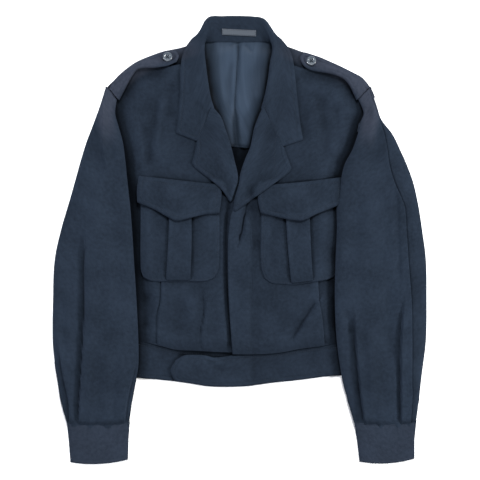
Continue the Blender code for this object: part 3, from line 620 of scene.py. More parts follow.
def fill(sides, step, close=()):
    """A grid of plan points between four outlines that share their corners."""
    u = grid_lines((size_of(sides.bottom) + size_of(sides.top)) / 2, step, close)
    v = grid_lines((size_of(sides.left) + size_of(sides.right)) / 2, step)
    bottom, top = curve(sides.bottom, u)[None], curve(sides.top, u)[None]
    left, right = curve(sides.left, v)[:, None], curve(sides.right, v)[:, None]
    u, v = u[None, :, None], v[:, None, None]
    corners = (1 - u) * (1 - v) * bottom[:, :1] + u * (1 - v) * bottom[:, -1:]
    corners = corners + (1 - u) * v * top[:, :1] + u * v * top[:, -1:]
    return (1 - v) * bottom + v * top + (1 - u) * left + u * right - corners


def reaches(place):
    """How far each grid point is from the four edges, along the cloth."""
    across = np.linalg.norm(np.diff(place, axis=1), axis=2)
    along = np.linalg.norm(np.diff(place, axis=0), axis=2)
    left = np.pad(np.cumsum(across, axis=1), ((0, 0), (1, 0)))
    bottom = np.pad(np.cumsum(along, axis=0), ((1, 0), (0, 0)))
    return {"left": left, "right": left[:, -1:] - left, "bottom": bottom, "top": bottom[-1:] - bottom}


class Pile:
    """The height of what is laid so far, on a map of square cells."""

    def __init__(self):
        self.heights = np.zeros((int(2 * HALF_LENGTH / CELL) + 1, int(2 * HALF_WIDTH / CELL) + 1))
        self.resting = self.heights

    def cover(self, place):
        """Raise the map to a piece's upper points."""
        for _ in range(2):
            place = self.halved(self.halved(place).transpose(1, 0, 2)).transpose(1, 0, 2)
        column = np.rint((place[..., 0] + HALF_WIDTH) / CELL).astype(int)
        row = np.rint((place[..., 1] + HALF_LENGTH) / CELL).astype(int)
        np.maximum.at(self.heights, (row, column), place[..., 2])

    @staticmethod
    def halved(place):
        """A point put between every two rows."""
        rows = np.empty((2 * len(place) - 1, *place.shape[1:]))
        rows[::2] = place
        rows[1::2] = (place[1:] + place[:-1]) / 2
        return rows

    @staticmethod
    def shifted(heights, cells):
        """The map moved by every step that lies within a disc."""
        for across in range(-cells, cells + 1):
            for along in range(-cells, cells + 1):
                if across**2 + along**2 <= cells**2:
                    yield np.roll(heights, (along, across), axis=(0, 1))

    def settle(self, spread=SPREAD_CELLS, soften=SOFTEN_CELLS, cap=99.0):
        """Work out where the next piece lies: as high as what is near, with softened steps."""
        wide = np.minimum(self.heights, cap)
        for moved in self.shifted(wide, spread):
            wide = np.maximum(wide, moved)
        self.resting = self.blurred(wide, soften)

    def blurred(self, heights, cells):
        """The map with every cell the mean of those around it."""
        total, count = np.zeros_like(heights), 0
        for moved in self.shifted(heights, cells):
            total += moved
            count += 1
        return total / count

    @staticmethod
    def read(heights, x, y):
        """A map's height at arrays of points."""
        column = np.clip((x + HALF_WIDTH) / CELL, 0, heights.shape[1] - 1.001)
        row = np.clip((y + HALF_LENGTH) / CELL, 0, heights.shape[0] - 1.001)
        c, r = column.astype(int), row.astype(int)
        s, t = column - c, row - r
        below = heights[r, c] * (1 - s) + heights[r, c + 1] * s
        above = heights[r + 1, c] * (1 - s) + heights[r + 1, c + 1] * s
        return below * (1 - t) + above * t

    def rest(self, x, y):
        """The height of the next piece's underside at arrays of points."""
        height = self.read(self.resting, x, y)
        return height + np.minimum(GAP, height)


def beside(path, x, y):
    """Distance from a smooth path, above 0 to its left, and the share of the path at the nearest point."""
    line = curve(path, np.linspace(0, 1, 25))
    nearest = np.full(x.shape, 1e9)
    hand = np.ones_like(x)
    share = np.zeros_like(x)
    for i, (start, end) in enumerate(zip(line, line[1:])):
        run = end - start
        along = np.clip(((x - start[0]) * run[0] + (y - start[1]) * run[1]) / (run @ run), 0, 1)
        dx, dy = x - start[0] - along * run[0], y - start[1] - along * run[1]
        reach = np.hypot(dx, dy)
        closer = reach < nearest
        nearest = np.where(closer, reach, nearest)
        hand = np.where(closer, run[0] * dy - run[1] * dx, hand)
        share = np.where(closer, (i + along) / (len(line) - 1), share)
    return np.where(hand > 0, nearest, -nearest), share


def faded(share):
    return smooth_step(share / 0.22) * smooth_step((1 - share) / 0.22)


def crease_depth(creases, x, y):
    """How far troughs (above 0) and ridges (below 0) lower the cloth, uneven on their two sides."""
    total = np.zeros_like(x)
    for crease in creases:
        off, share = beside(crease.path, x, y)
        width = np.where(off > 0, crease.width * crease.sharp, crease.width)
        total += crease.depth * faded(share) * np.exp(-((off / width) ** 2))
    return total


def pleat_height(pleats, x, y):
    """A folded edge: the cloth stands up on one side of the path and sinks on the other."""
    total = np.zeros_like(x)
    for pleat in pleats:
        off, share = beside(pleat.path, x, y)
        up = pleat.rise * np.exp(-np.maximum(off, 0) / pleat.reach)
        down = -pleat.drop * np.exp(np.minimum(off, 0) / (0.6 * pleat.reach))
        total += faded(share) * np.where(off > 0, up, down) * np.abs(np.tanh(off / 0.7))
    return total


def ripple(x, y, turn):
    """The slow unevenness of laid cloth, under a millimetre."""
    total = np.zeros_like(x)
    for wave, angle in ((97, 0.4), (61, 1.9), (43, 2.8), (31, 5.1)):
        a = angle + turn
        total += np.sin((x * math.cos(a) + y * math.sin(a)) * 2 * math.pi / wave + 3 * a) * wave / 97
    return 0.45 * total


def mesh_of(name, shape):
    """A mesh of a finished shape."""
    mesh = bpy.data.meshes.new(name)
    shape.to_mesh(mesh)
    shape.free()
    return mesh


def put(name, data):
    """A mesh, lamp or camera as an object of the scene."""
    item = bpy.data.objects.new(name, data)
    bpy.context.scene.collection.objects.link(item)
    return item


def corners_of(mesh):
    spots = np.empty(3 * len(mesh.vertices))
    mesh.vertices.foreach_get("co", spots)
    return spots.reshape(-1, 3)


def cloth(name, place, wall, nodes, slot="serge", upward=True, flip=False):
    """A sheet through a grid of points in millimetres, thickened to one side, for the solids named."""
    rows, columns = place.shape[:2]
    shape = bmesh.new()
    bmesh.ops.create_grid(shape, x_segments=columns - 1, y_segments=rows - 1, size=0.5)
    mesh = mesh_of(name, shape)
    spots = corners_of(mesh) + 0.5
    column = np.rint(spots[:, 0] * (columns - 1)).astype(int)
    row = np.rint(spots[:, 1] * (rows - 1)).astype(int)
    mesh.vertices.foreach_set("co", (place[row, column] * MM + shift).ravel())
    reach = reaches(place)
    flat = np.stack([reach["left"], reach["bottom"]], axis=2)[row, column] * MM
    corner = np.empty(len(mesh.loops), int)
    mesh.loops.foreach_get("vertex_index", corner)
    mesh.uv_layers.new(name="cloth").data.foreach_set("uv", flat[corner].ravel())
    if flip:
        mesh.flip_normals()
    mesh.shade_smooth()
    mesh.update()
    mesh.materials.append(finishes[slot])
    piece = put(name, mesh)
    thick = piece.modifiers.new("wall", "SOLIDIFY")
    thick.thickness = wall * MM
    thick.offset = 1.0 if upward else -1.0
    rim = piece.modifiers.new("rim", "BEVEL")
    rim.width = 0.3 * wall * MM
    rim.segments = 2
    rim.limit_method = "ANGLE"
    rim.angle_limit = math.radians(50)
    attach(piece, "root")
    cloths.append(piece)
    declare(nodes)


def declare(nodes):
    """Hide the solids that a sheet stands for."""
    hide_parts(*nodes.split())


def folded_edge(reach, radius=2.6, drop=1.2):
    """A turned edge rolls down over its last few millimetres."""
    t = np.clip(1 - reach / radius, 0, 1)
    return -drop * (1 - np.sqrt(1 - t**2))


def stitch_groove(reach, inset):
    """The cloth is drawn in along a row of stitches and swells beside it."""
    groove = -GROOVE_DEPTH * np.exp(-(((reach - inset) / GROOVE_WIDTH) ** 2))
    welt = WELT_HEIGHT * np.exp(-(((reach - 0.5 * inset) / (0.35 * inset)) ** 2))
    return groove + welt


def edge_row(top, reach, side, inset, clear):
    """Points of a row of stitches at a distance from one side, clear of the sides named."""
    lengthwise = side in ("bottom", "top")
    points = top if lengthwise else top.transpose(1, 0, 2)
    depth = reach[side] if lengthwise else reach[side].T
    others = [reach[name] if lengthwise else reach[name].T for name in clear]
    line = []
    for column in range(points.shape[1]):
        order = np.argsort(depth[:, column])
        far = depth[order, column]
        spot = [np.interp(inset, far, points[order, column, k]) for k in range(3)]
        if all(np.interp(inset, far, other[order, column]) >= inset - 0.01 for other in others):
            line.append(spot)
    return line


def sew(top, rows, sides, inset):
    """Rows of stitches along the sides named, meeting at their corners."""
    for side in sides:
        line = edge_row(top, rows, side, inset, [other for other in sides if other != side])
        if len(line) > 2:
            seams.append(np.array(line))


def lay(node, sides, step, wall, folds="", inset=6.0, lift=None, turn=0.0, extend=None, close=(),
        settled=False, form=None, slot="serge"):
    """Lay a flat-cut piece on the pile; folds names its turned and stitched sides by first letter."""
    if not settled:
        pile.settle()
    plan = fill(sides, step, close)
    reach = reaches(plan)
    x, y = plan[..., 0], plan[..., 1]
    height = pile.rest(x, y)
    if form:
        height = np.maximum(height, form(x, y, reach))
    if lift:
        height = height + lift(x, y, reach)
    turned = [side for side in ("left", "bottom", "right", "top") if side[0] in folds]
    for side in turned:
        height = height + folded_edge(reach[side])
    if turned and inset:
        near = np.min([reach[side] for side in turned], axis=0)
        height = height + stitch_groove(near, inset)
    height = height + ripple(x, y, turn) * smooth_step(np.min(list(reach.values()), axis=0) / 18)
    place = np.dstack([x, y, np.maximum(height, 0.0)])
    if extend:
        place = extend(place)
    cloth(f"{node}_cloth", place, wall, node, slot)
    top = place + np.array([0, 0, wall])
    pile.cover(top)
    if turned and inset:
        sew(top[:, : plan.shape[1]], reach, turned, inset)


def window(reach, margin):
    """0 at a piece's edges, 1 away from them."""
    sideways = np.minimum(reach["left"], reach["right"])
    lengthwise = np.minimum(reach["bottom"], reach["top"])
    return smooth_step(sideways / margin) * smooth_step(lengthwise / margin)


def chest(x, y, reach):
    """The height that both fronts share: full, but sunk by the sleeves and straps and to the waist."""
    full = smooth_step((reach["bottom"] + 14) / 36) * smooth_step(reach["top"] / 40)
    for path in HOLLOWS:
        off, _ = beside(path, x, y)
        full = full * smooth_step((off - 2) / HOLLOW_WIDTH)
    return SERGE + GAP + CHEST_FULLNESS * full


def front_lift(x, y, reach):
    """What the chest's folds, darts and shoulder ridges add to its height."""
    soft = window(reach, 14) * crease_depth(FRONT_CREASES, x, y)
    near_shoulder = np.minimum(reach["bottom"], reach["top"])
    ridge = crease_depth(SHOULDER_RIDGES, x, y) * smooth_step((near_shoulder + 2) / 10)
    return pleat_height(DARTS, x, y) * smooth_step(reach["bottom"] / 4) - soft - ridge


def flat_panel(name, node, sides, step):
    """A panel that lies straight on the floor, under all the others."""
    plan = fill(sides, step)
    place = np.dstack([plan, np.zeros(plan.shape[:2])])
    cloth(name, place, SERGE, node)
    pile.cover(place + np.array([0, 0, SERGE]))


def build_back():
    top = SHOULDER_RIGHT[:-1] + [(-60, 319), (-30, 320), (-2, 320), (26, 320), (55, 319)] + SHOULDER_LEFT[1:]
    waist = [(-208, -162), (0, -163), (209, -162)]
    flat_panel("back_panel", "back", Sides(waist, top, SIDE_RIGHT, SIDE_LEFT), 6.0)
    band = Sides(
        [(-203, -213), (-80, -224), (0, -229), (80, -224), (204, -211)],
        [(-207, -162 - SEAM), (0, -163 - SEAM), (208, -162 - SEAM)],
        [(-203, -213), (-207, -162 - SEAM)],
        [(204, -211), (208, -162 - SEAM)],
    )
    flat_panel("back_waistband", "waistband_back", band, 5.0)


def build_lining():
    sides = Sides(
        [(-32, 149), (-3, 147), (26, 144)],
        [(-66, 315), (-50, 318), (-3, 318.4), (42, 318), (60, 315)],
        [(-32, 149), (-42, 178), (-60, 215), (-66, 260), (-66, 315)],
        [(26, 144), (38, 178), (52, 215), (58, 260), (60, 315)],
    )
    hang = [
        Crease(13, 4.8, [(-58, 335), (-56, 300), (-54, 272), (-49, 243), (-41, 214), (-29, 180)]),
        Crease(9, 4.8, [(54, 335), (52, 305), (51, 275), (47, 245), (40, 218), (28, 180)]),
        Crease(5, 3.0, [(32, 205), (24, 175), (17, 150), (14, 130)]),
        Crease(6, 2.2, [(-8, 290), (-17, 264), (-19, 238), (-14, 200)]),
        Crease(5, -1.0, [(-31, 312), (-31, 255), (-25, 210)]),
        Crease(2.6, 3.4, [(-3, 360), (-3, 320), (-3.5, 285), (-6, 250), (-8, 210), (-9, 160)]),
        Crease(5.5, 5.0, [(-8, 214), (-8, 185), (-6, 155), (-4, 100)]),
        Crease(9, 1.8, [(30, 232), (26, 200), (20, 165)]),
        Crease(2.5, 1.0, [(-18, 306), (-11, 312), (-2, 313)]),
        Crease(2.5, 1.0, [(6, 313), (13, 306), (20, 297)]),
    ]

    def lift(x, y, reach):
        full = 1.4 + 2.6 * smooth_step(reach["top"] / 26) * smooth_step((reach["bottom"] + 4) / 12)
        return np.maximum(full - crease_depth(hang, x, y) * smooth_step(reach["top"] / 5), 0.0)

    lay("back_lining", sides, 2.0, LINING_CLOTH, "b", 3.0, lift, slot="lining")


def build_fronts():
    right_edge = [(18, -180), (19, -60), (18, 20), (8, 62)] + ROLL_RIGHT[2:] + NECK_RIGHT
    right = Sides(WAIST_RIGHT, SHOULDER_RIGHT, SIDE_RIGHT, right_edge)
    # The grid is finer across the long dart of each front
    lay("front_right", right, 2.5, SERGE, lift=front_lift, turn=0.7, close=[(0.325, 0.42)], form=chest)
    left_edge = [(-11, -182.5), (-16, -113), (-18, -65), (-18, -1), (-14, 36)] + ROLL_LEFT + NECK_LEFT
    left = Sides(WAIST_LEFT, SHOULDER_LEFT, left_edge, SIDE_LEFT)

    def lift(x, y, reach):
        below = smooth_step((60 - y) / 30)
        edge = folded_edge(reach["left"], 2.0, 0.7) + 0.9 * np.exp(-reach["left"] / 9)
        return front_lift(x, y, reach) + edge * below

    pile.settle(3, 7)
    lay("front_left", left, 2.5, SERGE, lift=lift, turn=2.1, close=[(0.57, 0.685)], form=chest,
        settled=True)


def build_pockets():
    def full(pleat):
        # The bag is pressed in along the pleat's two edges, past its bottom
        paths = [[(line[0][0], line[0][1] - 30), *line] for line in (pleat.left, pleat.right)]
        edges = [Crease(3.0, 1.5, path) for path in paths]

        def lift(x, y, reach):
            return 1.2 * window(reach, 16) - crease_depth(edges, x, y) * smooth_step(reach["bottom"] / 3)

        return lift

    def pressed(x, y, reach):
        edges = np.minimum(reach["left"], reach["right"])
        raised = (0.6 + 0.9 * np.exp(-edges / 5)) * smooth_step(reach["bottom"] / 12)
        return raised - 1.2 * smooth_step(1 - reach["bottom"] / 8)

    def hanging(x, y, reach):
        return 1.9 * smooth_step(reach["top"] / 32)

    for side, pieces in POCKETS.items():
        lay(f"pocket_bag_{side}", pieces["bag"], 2.2, SERGE, "lbr", 2.2, full(pieces["pleat"]), 1.1)
        lay(f"pocket_pleat_{side}", pieces["pleat"], 2.4, SERGE, "lr", 0.0, pressed, 2.3)
        pile.settle(4, 7)
        lay(f"pocket_flap_{side}", pieces["flap"], 2.0, TWO_PLY, "lbrt", 6.0, hanging, 0.3,
            settled=True)


def rolled_over(side, radius):
    """Carry a sheet round its roll line and under itself."""

    def extend(place):
        line = place[:, -1] if side == "right" else place[:, 0]
        course = np.gradient(line[:, :2], axis=0)
        course /= np.linalg.norm(course, axis=1)[:, None]
        outward = np.stack([course[:, 1], -course[:, 0]], axis=1)
        if side == "left":
            outward = -outward
        strips = []
        for angle in np.linspace(0, math.pi, 10)[1:]:
            strip = line.copy()
            strip[:, :2] += outward * radius * math.sin(angle)
            strip[:, 2] -= radius * (1 - math.cos(angle))
            strips.append(strip[:, None])
        if side == "right":
            return np.concatenate([place] + strips, axis=1)
        return np.concatenate(strips[::-1] + [place], axis=1)

    return extend


def build_lapels():
    radius = 1.5
    inset = radius + TWO_PLY
    roll_right = [(x - inset, y) for x, y in ROLL_RIGHT]
    roll_left = [(x + inset, y) for x, y in ROLL_LEFT]
    right = Sides(
        [(-75, 121), (-70, 114), (-32, 84), roll_right[0]],
        [(-67, 156), roll_right[-1]],
        [(-75, 121), (-70, 140), (-67, 156)],
        roll_right,
    )
    left = Sides(
        [roll_left[0], (16, 63), (48, 86), (77, 108), (80, 114)],
        [roll_left[-1], (67, 148)],
        roll_left,
        [(80, 114), (74, 130), (67, 148)],
    )

    def roll(near, far):
        def lift(x, y, reach):
            rise = LAPEL_ROLL * smooth_step(1 - reach[near] / 34) * smooth_step(reach["bottom"] / 34)
            return rise + 0.6 * smooth_step(np.minimum(reach["bottom"], reach[far]) / 16)

        return lift

    lay("lapel_right", right, 2.0, TWO_PLY, "lb", 6.0, roll("right", "left"), 1.7,
        rolled_over("right", radius))
    lay("lapel_left", left, 2.0, TWO_PLY, "br", 6.0, roll("left", "right"), 0.2,
        rolled_over("left", radius), settled=True)


def collar_section(station, inward, free):
    """Under-face points across the collar: free edge, mid, roll and down the stand to the neck seam."""
    roll, mid, edge = (np.array(p, float) for p in (station.roll, station.mid, station.edge))
    ends = []
    for point in (edge, mid, roll):
        rest = float(pile.rest(np.array([point[0]]), np.array([point[1]]))[0])
        ends.append(np.array([point[0], point[1], point[2] + (1 - station.folded) * rest]))
    edge, mid, roll = ends
    roll[2] += COLLAR_LIFT * free * (1 - 0.35 * station.folded)
    mid[2] += 0.35 * COLLAR_LIFT * free * (1 - station.folded)
    turn = 1.2 + 2.0 * station.folded
    inner = roll + np.array([inward[0] * turn, inward[1] * turn, -1.2 + 0.9 * station.folded])
    if station.seam:
        seam = np.array(station.seam, float) + np.array([0, -2.4, 1.1])
    else:
        seam = roll + np.array([-inward[0] * 7, -inward[1] * 7, -2.4])
    return edge, mid, roll, inner, seam


def build_collar():
    rolls = np.array([station.roll[:2] for station in COLLAR_STATIONS], float)
    course = np.gradient(rolls, axis=0)
    course /= np.linalg.norm(course, axis=1)[:, None]
    inward = np.stack([course[:, 1], -course[:, 0]], axis=1)
    from_end = np.minimum(np.arange(len(rolls)), len(rolls) - 1 - np.arange(len(rolls)))
    free = smooth_step(from_end / 3)
    keys = np.array([collar_section(*facts) for facts in zip(COLLAR_STATIONS, inward, free)])
    length = size_of(rolls)
    v = grid_lines(length, 3.0)
    # Each key point runs along the collar on its own smooth curve, at even shares of the stations
    stations = np.linspace(0, 1, len(COLLAR_STATIONS))
    travelled = np.concatenate([[0], np.cumsum(np.linalg.norm(np.diff(rolls, axis=0), axis=1))]) / length
    at = np.interp(v, travelled, stations)
    edge, mid, roll, inner, seam = (smooth_table(keys[:, k], at) for k in range(5))
    fall = grid_lines(FALL_WIDTH, 2.4)[:-1]
    strips = []
    for share in fall:
        if share <= FALL_MID_SHARE:
            spot = edge + (mid - edge) * (share / FALL_MID_SHARE)
        else:
            spot = mid + (roll - mid) * ((share - FALL_MID_SHARE) / (1 - FALL_MID_SHARE))
        strips.append(spot)
    for share in np.linspace(0, 1, ROLL_LINES):
        # A quadratic through the roll's shoulder gives the fold its round
        shoulder = 2 * share * (1 - share) * (roll + inner) / 2
        strips.append((1 - share) ** 2 * roll + shoulder + share**2 * inner)
    for share in np.linspace(0, 1, STAND_LINES + 1)[1:]:
        strips.append(inner + (seam - inner) * share)
    place = np.stack(strips, axis=1)
    x, y = place[..., 0], place[..., 1]
    reach = reaches(place)
    folded = smooth_table(np.array([[s.folded] for s in COLLAR_STATIONS], float), at)
    # The ends are free as far as the notch; from there to the roll they are sewn to the lapels
    ends = np.minimum(reach["bottom"], reach["top"])
    shares = np.concatenate([fall, np.ones(ROLL_LINES + STAND_LINES)])
    sewn = smooth_step((shares[None, :] - NOTCH_SHARE) / NOTCH_FADE)
    near = np.minimum(reach["left"], ends + 40 * sewn)
    on_leaf = (np.arange(place.shape[1]) < len(fall))[None, :] * (1 - folded)
    place[..., 2] += on_leaf * (folded_edge(near) + stitch_groove(near, 6.0) + 0.6 * smooth_step(near / 14))
    place[..., 2] -= on_leaf * sewn * smooth_step(1 - (ends - 1.5) / 9)
    dent = [Crease(4.5, 1.6, [(-74, 220), (-66, 214), (-56, 206), (-46, 198)])]
    place[..., 2] -= on_leaf * crease_depth(dent, x, y)
    place[..., 2] = np.maximum(place[..., 2], 0.0)
    cloth("collar", place, SLEEVE_CLOTH, "collar_fall collar_stand")
    top = place + np.array([0, 0, SLEEVE_CLOTH])
    pile.cover(top)
    flat_rows = (folded[:, 0] < 0.2).nonzero()[0]
    middle = len(folded) // 2
    for rows in (flat_rows[flat_rows < middle], flat_rows[flat_rows > middle]):
        part = slice(rows[0], rows[-1] + 1), slice(len(fall))
        sides = ["left", "bottom"] if rows[0] < middle else ["left", "top"]
        sew(top[part], {name: values[part] for name, values in reach.items()}, sides, 6.0)


def build_label():
    u = grid_lines(LABEL_LENGTH, 3.0)[None, :]
    v = np.linspace(0, 1, 9)[:, None]
    x = LABEL_CENTRE[0] + (u - 0.5) * LABEL_LENGTH + 0 * v
    y = LABEL_CENTRE[1] + (v - 0.5) * LABEL_HEIGHT + (u - 0.5) * LABEL_TILT
    pile.settle(1, 1)
    place = np.dstack([x, y, pile.rest(x, y)])
    cloth("plain_neck_label", place, LABEL_THICKNESS, "neck_label", "label")
    top = place + np.array([0, 0, LABEL_THICKNESS])
    sew(top, reaches(place), ["left", "bottom", "right", "top"], 1.0)


def build_waistband():
    right = Sides(
        HEM_RIGHT,
        [(x, y - SEAM - 0.2) for x, y in WAIST_RIGHT[:-2]] + [(-30, -180.5), (10, -181)],
        [(-205, -217), (-208, -162 - SEAM - 0.2)],
        [(10, -233), (10, -181)],
    )
    left = Sides(
        HEM_LEFT,
        [(-101, -194), (-88, -186.5), (-72, -185.5), (-56, -186.5), (-40, -190), (-11, -186.5)]
        + [(x, y - SEAM - 0.2) for x, y in WAIST_LEFT[1:]],
        [(-101, -225), (-107, -217), (-109, -208), (-101, -194)],
        [(206, -215), (209, -162 - SEAM - 0.2)],
    )
    tab_crease = [Crease(5, 2.2, [(-56, -190), (-40, -200), (-22, -214)], 0.6)]
    gap_above_tab = [Crease(5.0, 4.4, [(-110, -184), (-70, -182.5), (-36, -184.5), (20, -184)])]

    def under_lift(x, y, reach):
        return np.maximum(1.4 * window(reach, 12) - crease_depth(gap_above_tab, x, y), -1.6)

    def lift(x, y, reach):
        stand = 1.4 * window(reach, 12) + 1.2 * smooth_step(1 - reach["left"] / 130)
        return np.maximum(stand - crease_depth(tab_crease, x, y), 0.0)

    # The fronts bulge over the band, so it lies on the back's band alone
    laid = pile.heights
    pile.heights = np.full_like(laid, SERGE)
    lay("waistband_right", right, 2.6, TWO_PLY, "bt", 5.0, under_lift, 0.9)
    lay("waistband_left", left, 2.6, TWO_PLY, "lbt", 5.0, lift, 1.5)
    pile.heights = np.maximum(laid, pile.heights)


def tube_grid(line, s):
    """A flattened tube's outer points: line gives inner, outer, sag and depth for each row."""
    inner, outer, sag, depth = line
    across = (1 - np.cos(math.pi * s)) / 2
    full = np.sqrt(np.maximum(1 - np.abs(2 * across - 1) ** 8, 0))
    middle = 0.42 * depth[:, None]
    upper = np.sin(math.pi * s) >= 0
    height = middle + np.where(upper, depth[:, None] - middle, -middle) * full
    x = inner[:, :1] + (outer[:, :1] - inner[:, :1]) * across
    y = inner[:, 1:] + (outer[:, 1:] - inner[:, 1:]) * across - sag[:, None] * 4 * across * (1 - across)
    swell = np.where(upper, np.maximum(4 * across * (1 - across), 0) ** 0.45, 0.0)
    return x, y, height, upper, swell


def build_sleeves():
    pile.settle(BRIDGE_SPREAD_CELLS, BRIDGE_SOFTEN_CELLS, cap=BRIDGE_CAP)
    tops = []
    for side, table in (("right", RIGHT_SLEEVE), ("left", LEFT_SLEEVE)):
        length = table[0].y - table[-1].y
        v = grid_lines(length, 3.2)
        facts = curve([(row.y, 0.0, row.inner, row.outer, row.depth, row.hindarm) for row in table], v)
        level, inner_x, outer_x, depth, shown = facts.T[[0, 2, 3, 4, 5]]
        slant = smooth_step(1 - v / 0.12)
        head_inner_y, head_outer_x, head_outer_y = SLEEVE_HEADS[side]
        inner = np.stack([inner_x, level + head_inner_y * slant], axis=1)
        outer = np.stack([outer_x + head_outer_x * slant, level + head_outer_y * slant], axis=1)
        line = inner, outer, CUFF_SEAM_SAG * smooth_step((v - 0.9) / 0.1), depth
        rows = np.linspace(0, 1, len(SLEEVE_FULLNESS_SHARES))
        fullness = (np.interp(v, rows, SLEEVE_FULLNESS_SHARES) * SLEEVE_FULLNESS)[:, None]
        hindarm = np.arccos(1 - 2 * np.clip(shown, 0, 1)) / math.pi
        hindarm = np.where(shown >= 0.999, HINDARM_TUCK, hindarm)
        width = np.abs(outer_x - inner_x)
        step = 0.8 * SEAM / (0.6 * width)
        back_share = 1 - np.minimum(hindarm, 1).mean()
        forearm = np.full_like(v, -FOREARM_TUCK)
        under = sleeve_columns(SLEEVE_COLUMNS * back_share, HIDDEN_COLUMNS)
        spans = {
            f"top_sleeve_{side}": (forearm, hindarm, sleeve_columns(SLEEVE_COLUMNS, 0)),
            f"under_sleeve_{side}": (hindarm + step, 2 - FOREARM_TUCK - step, under),
        }
        v = v[:, None]
        head, wrist = v * length, (1 - v) * length
        for node, (start, end, share) in spans.items():
            s = start[:, None] + (end - start)[:, None] * share[None, :]
            x, y, height, upper, swell = tube_grid(line, s)
            full = smooth_step(height / depth[:, None])
            soft = crease_depth(SLEEVE_CREASES, x, y) - pleat_height(SLEEVE_PLEATS, x, y)
            soft = soft * smooth_step(head / 12) * smooth_step((wrist - 3) / 9)
            gather = cuff_gathers(x, v)
            height = height + np.where(upper, swell * fullness - full * (soft + gather), 0.0)
            height = height + full * upper * ripple(x, y, 1.3)
            height = height * (0.45 + 0.55 * smooth_step(head / 26))
            seam_reach = np.abs(s - hindarm[:, None]) * width[:, None] * 1.2
            height = height - np.where(upper, 0.8 * np.exp(-((seam_reach / 1.4) ** 2)), 0.0)
            if side == "left":
                above = HINDARM_STAND * np.exp(-seam_reach / 5)
                below = -HINDARM_SINK * np.exp(-seam_reach / 24)
                stand = np.where(s <= hindarm[:, None], above, below)
                height = height + full * upper * stand * smooth_step(v / 0.15)
            # The seams at the armhole and the cuff draw the sleeve down
            drawn = ARMHOLE_DRAW * np.exp(-((head / 3.0) ** 2))
            drawn = drawn + WRIST_DRAW * smooth_step(1 - (wrist - 3) / 9)
            height = height - np.where(upper, np.minimum(drawn, 0.6 * height), 0.0)
            place = np.dstack([x, y, np.maximum(pile.rest(x, y) + height, 0.0)])
            cloth(f"{node}_cloth", place, SLEEVE_CLOTH, node, upward=False, flip=side == "left")
            tops.append(np.where(upper[..., None], place, 0.0))
    for top in tops:
        pile.cover(top)


def sleeve_columns(shown, hidden):
    """Shares of a sleeve panel's columns: fine where it shows and coarse where it lies underneath."""
    fine = np.linspace(0, 1, int(max(shown, 2)))
    if not hidden:
        return fine
    split = len(fine) / (len(fine) + 2.2 * hidden)
    return np.concatenate([fine * split, split + (1 - split) * np.linspace(0, 1, hidden)[1:]])


def cuff_gathers(x, v):
    """Short puckers where the sleeve's fullness is eased into the cuff."""
    near = smooth_step((v - 0.9) / 0.1)
    return near * 0.6 * (np.sin(x / 4.1) + 0.6 * np.sin(x / 2.3 + 1.7))


def build_cuffs():
    for side, table in (("right", RIGHT_CUFF), ("left", LEFT_CUFF)):
        v = grid_lines(CUFF_LENGTH, 2.4)
        facts = np.array([(*row.outer, *row.inner, row.sag, row.depth) for row in table])
        spots = np.linspace(0, 1, len(table))
        facts = np.stack([np.interp(v, spots, fact) for fact in facts.T], axis=1)
        line = facts[:, 2:4], facts[:, :2], facts[:, 4], facts[:, 5]
        s = CUFF_START + CUFF_WRAP * grid_lines(CUFF_ROUND, 2.6)[None, :] + 0 * v[:, None]
        x, y, height, upper, swell = tube_grid(line, s)
        reach = {"bottom": v[:, None] * CUFF_LENGTH + 0 * s, "top": (1 - v[:, None]) * CUFF_LENGTH + 0 * s}
        form = swell * CUFF_FULLNESS + folded_edge(reach["top"], 3.0, 1.4) + 0.5 * ripple(x, y, 4.0)
        for end in ("top", "bottom"):
            form = form + stitch_groove(reach[end], CUFF_ROWS[end])
        place = np.dstack([x, y, np.maximum(height + np.where(upper, form, 0.0), 0.0)])
        cloth(f"cuff_{side}_cloth", place, TWO_PLY, f"cuff_{side}", upward=False, flip=side == "left")
        shown = (np.sin(math.pi * s[0]) > 0.25).nonzero()[0]
        for end, inset in CUFF_ROWS.items():
            part = slice(None), slice(shown[0], shown[-1] + 1)
            sew(place[part], {end: reach[end][part]}, [end], inset)


def build_straps():
    pile.settle()
    right = Sides(
        [(-194, 223), (-185, 240), (-176, 257), (-166, 271), (-155, 275), (-136, 275.5), (-115, 278),
         (-103, 284)],
        [(-207, 239), (-199, 253.5), (-185, 267), (-168, 279.5), (-150, 288.5), (-130, 296.5), (-115, 300.5),
         (-104, 300.5)],
        [(-194, 223), (-207, 239)],
        [(-103, 284), (-98.5, 292), (-104, 300.5)],
    )
    left = Sides(
        [(99.5, 283), (106, 275), (117, 270.5), (144, 266), (165, 258), (176, 246), (184, 230), (187, 223)],
        [(103, 297.5), (128, 289.5), (154, 277.5), (180, 264.5), (195, 256), (205, 242)],
        [(99.5, 283), (98, 291), (103, 297.5)],
        [(187, 223), (205, 242)],
    )

    def arch(x, y, reach):
        free = 1.0
        for spot in BUTTONS.values():
            free = free * smooth_step((np.hypot(x - spot[0], y - spot[1]) - 8) / 14)
        return free * (1.2 * window(reach, 9) + 2.8 * smooth_step(1 - reach["bottom"] / 14))

    lay("shoulder_strap_right", right, 2.0, TWO_PLY, "brt", 4.5, arch, 0.5)
    lay("shoulder_strap_left", left, 2.0, TWO_PLY, "lbt", 4.5, arch, 2.5)


def bead(shape, spot, turn, length, width, height, sides=6):
    """One rounded stitch of thread."""
    size = Matrix.Diagonal((length / 2 * MM, width / 2 * MM, height / 2 * MM, 1))
    bmesh.ops.create_uvsphere(shape, u_segments=sides, v_segments=4, radius=1.0,
                              matrix=Matrix.Translation(spot) @ turn @ size)


def thread_piece(name, shape):
    mesh = mesh_of(name, shape)
    mesh.shade_smooth()
    mesh.materials.append(finishes["thread"])
    piece = put(name, mesh)
    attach(piece, "root")


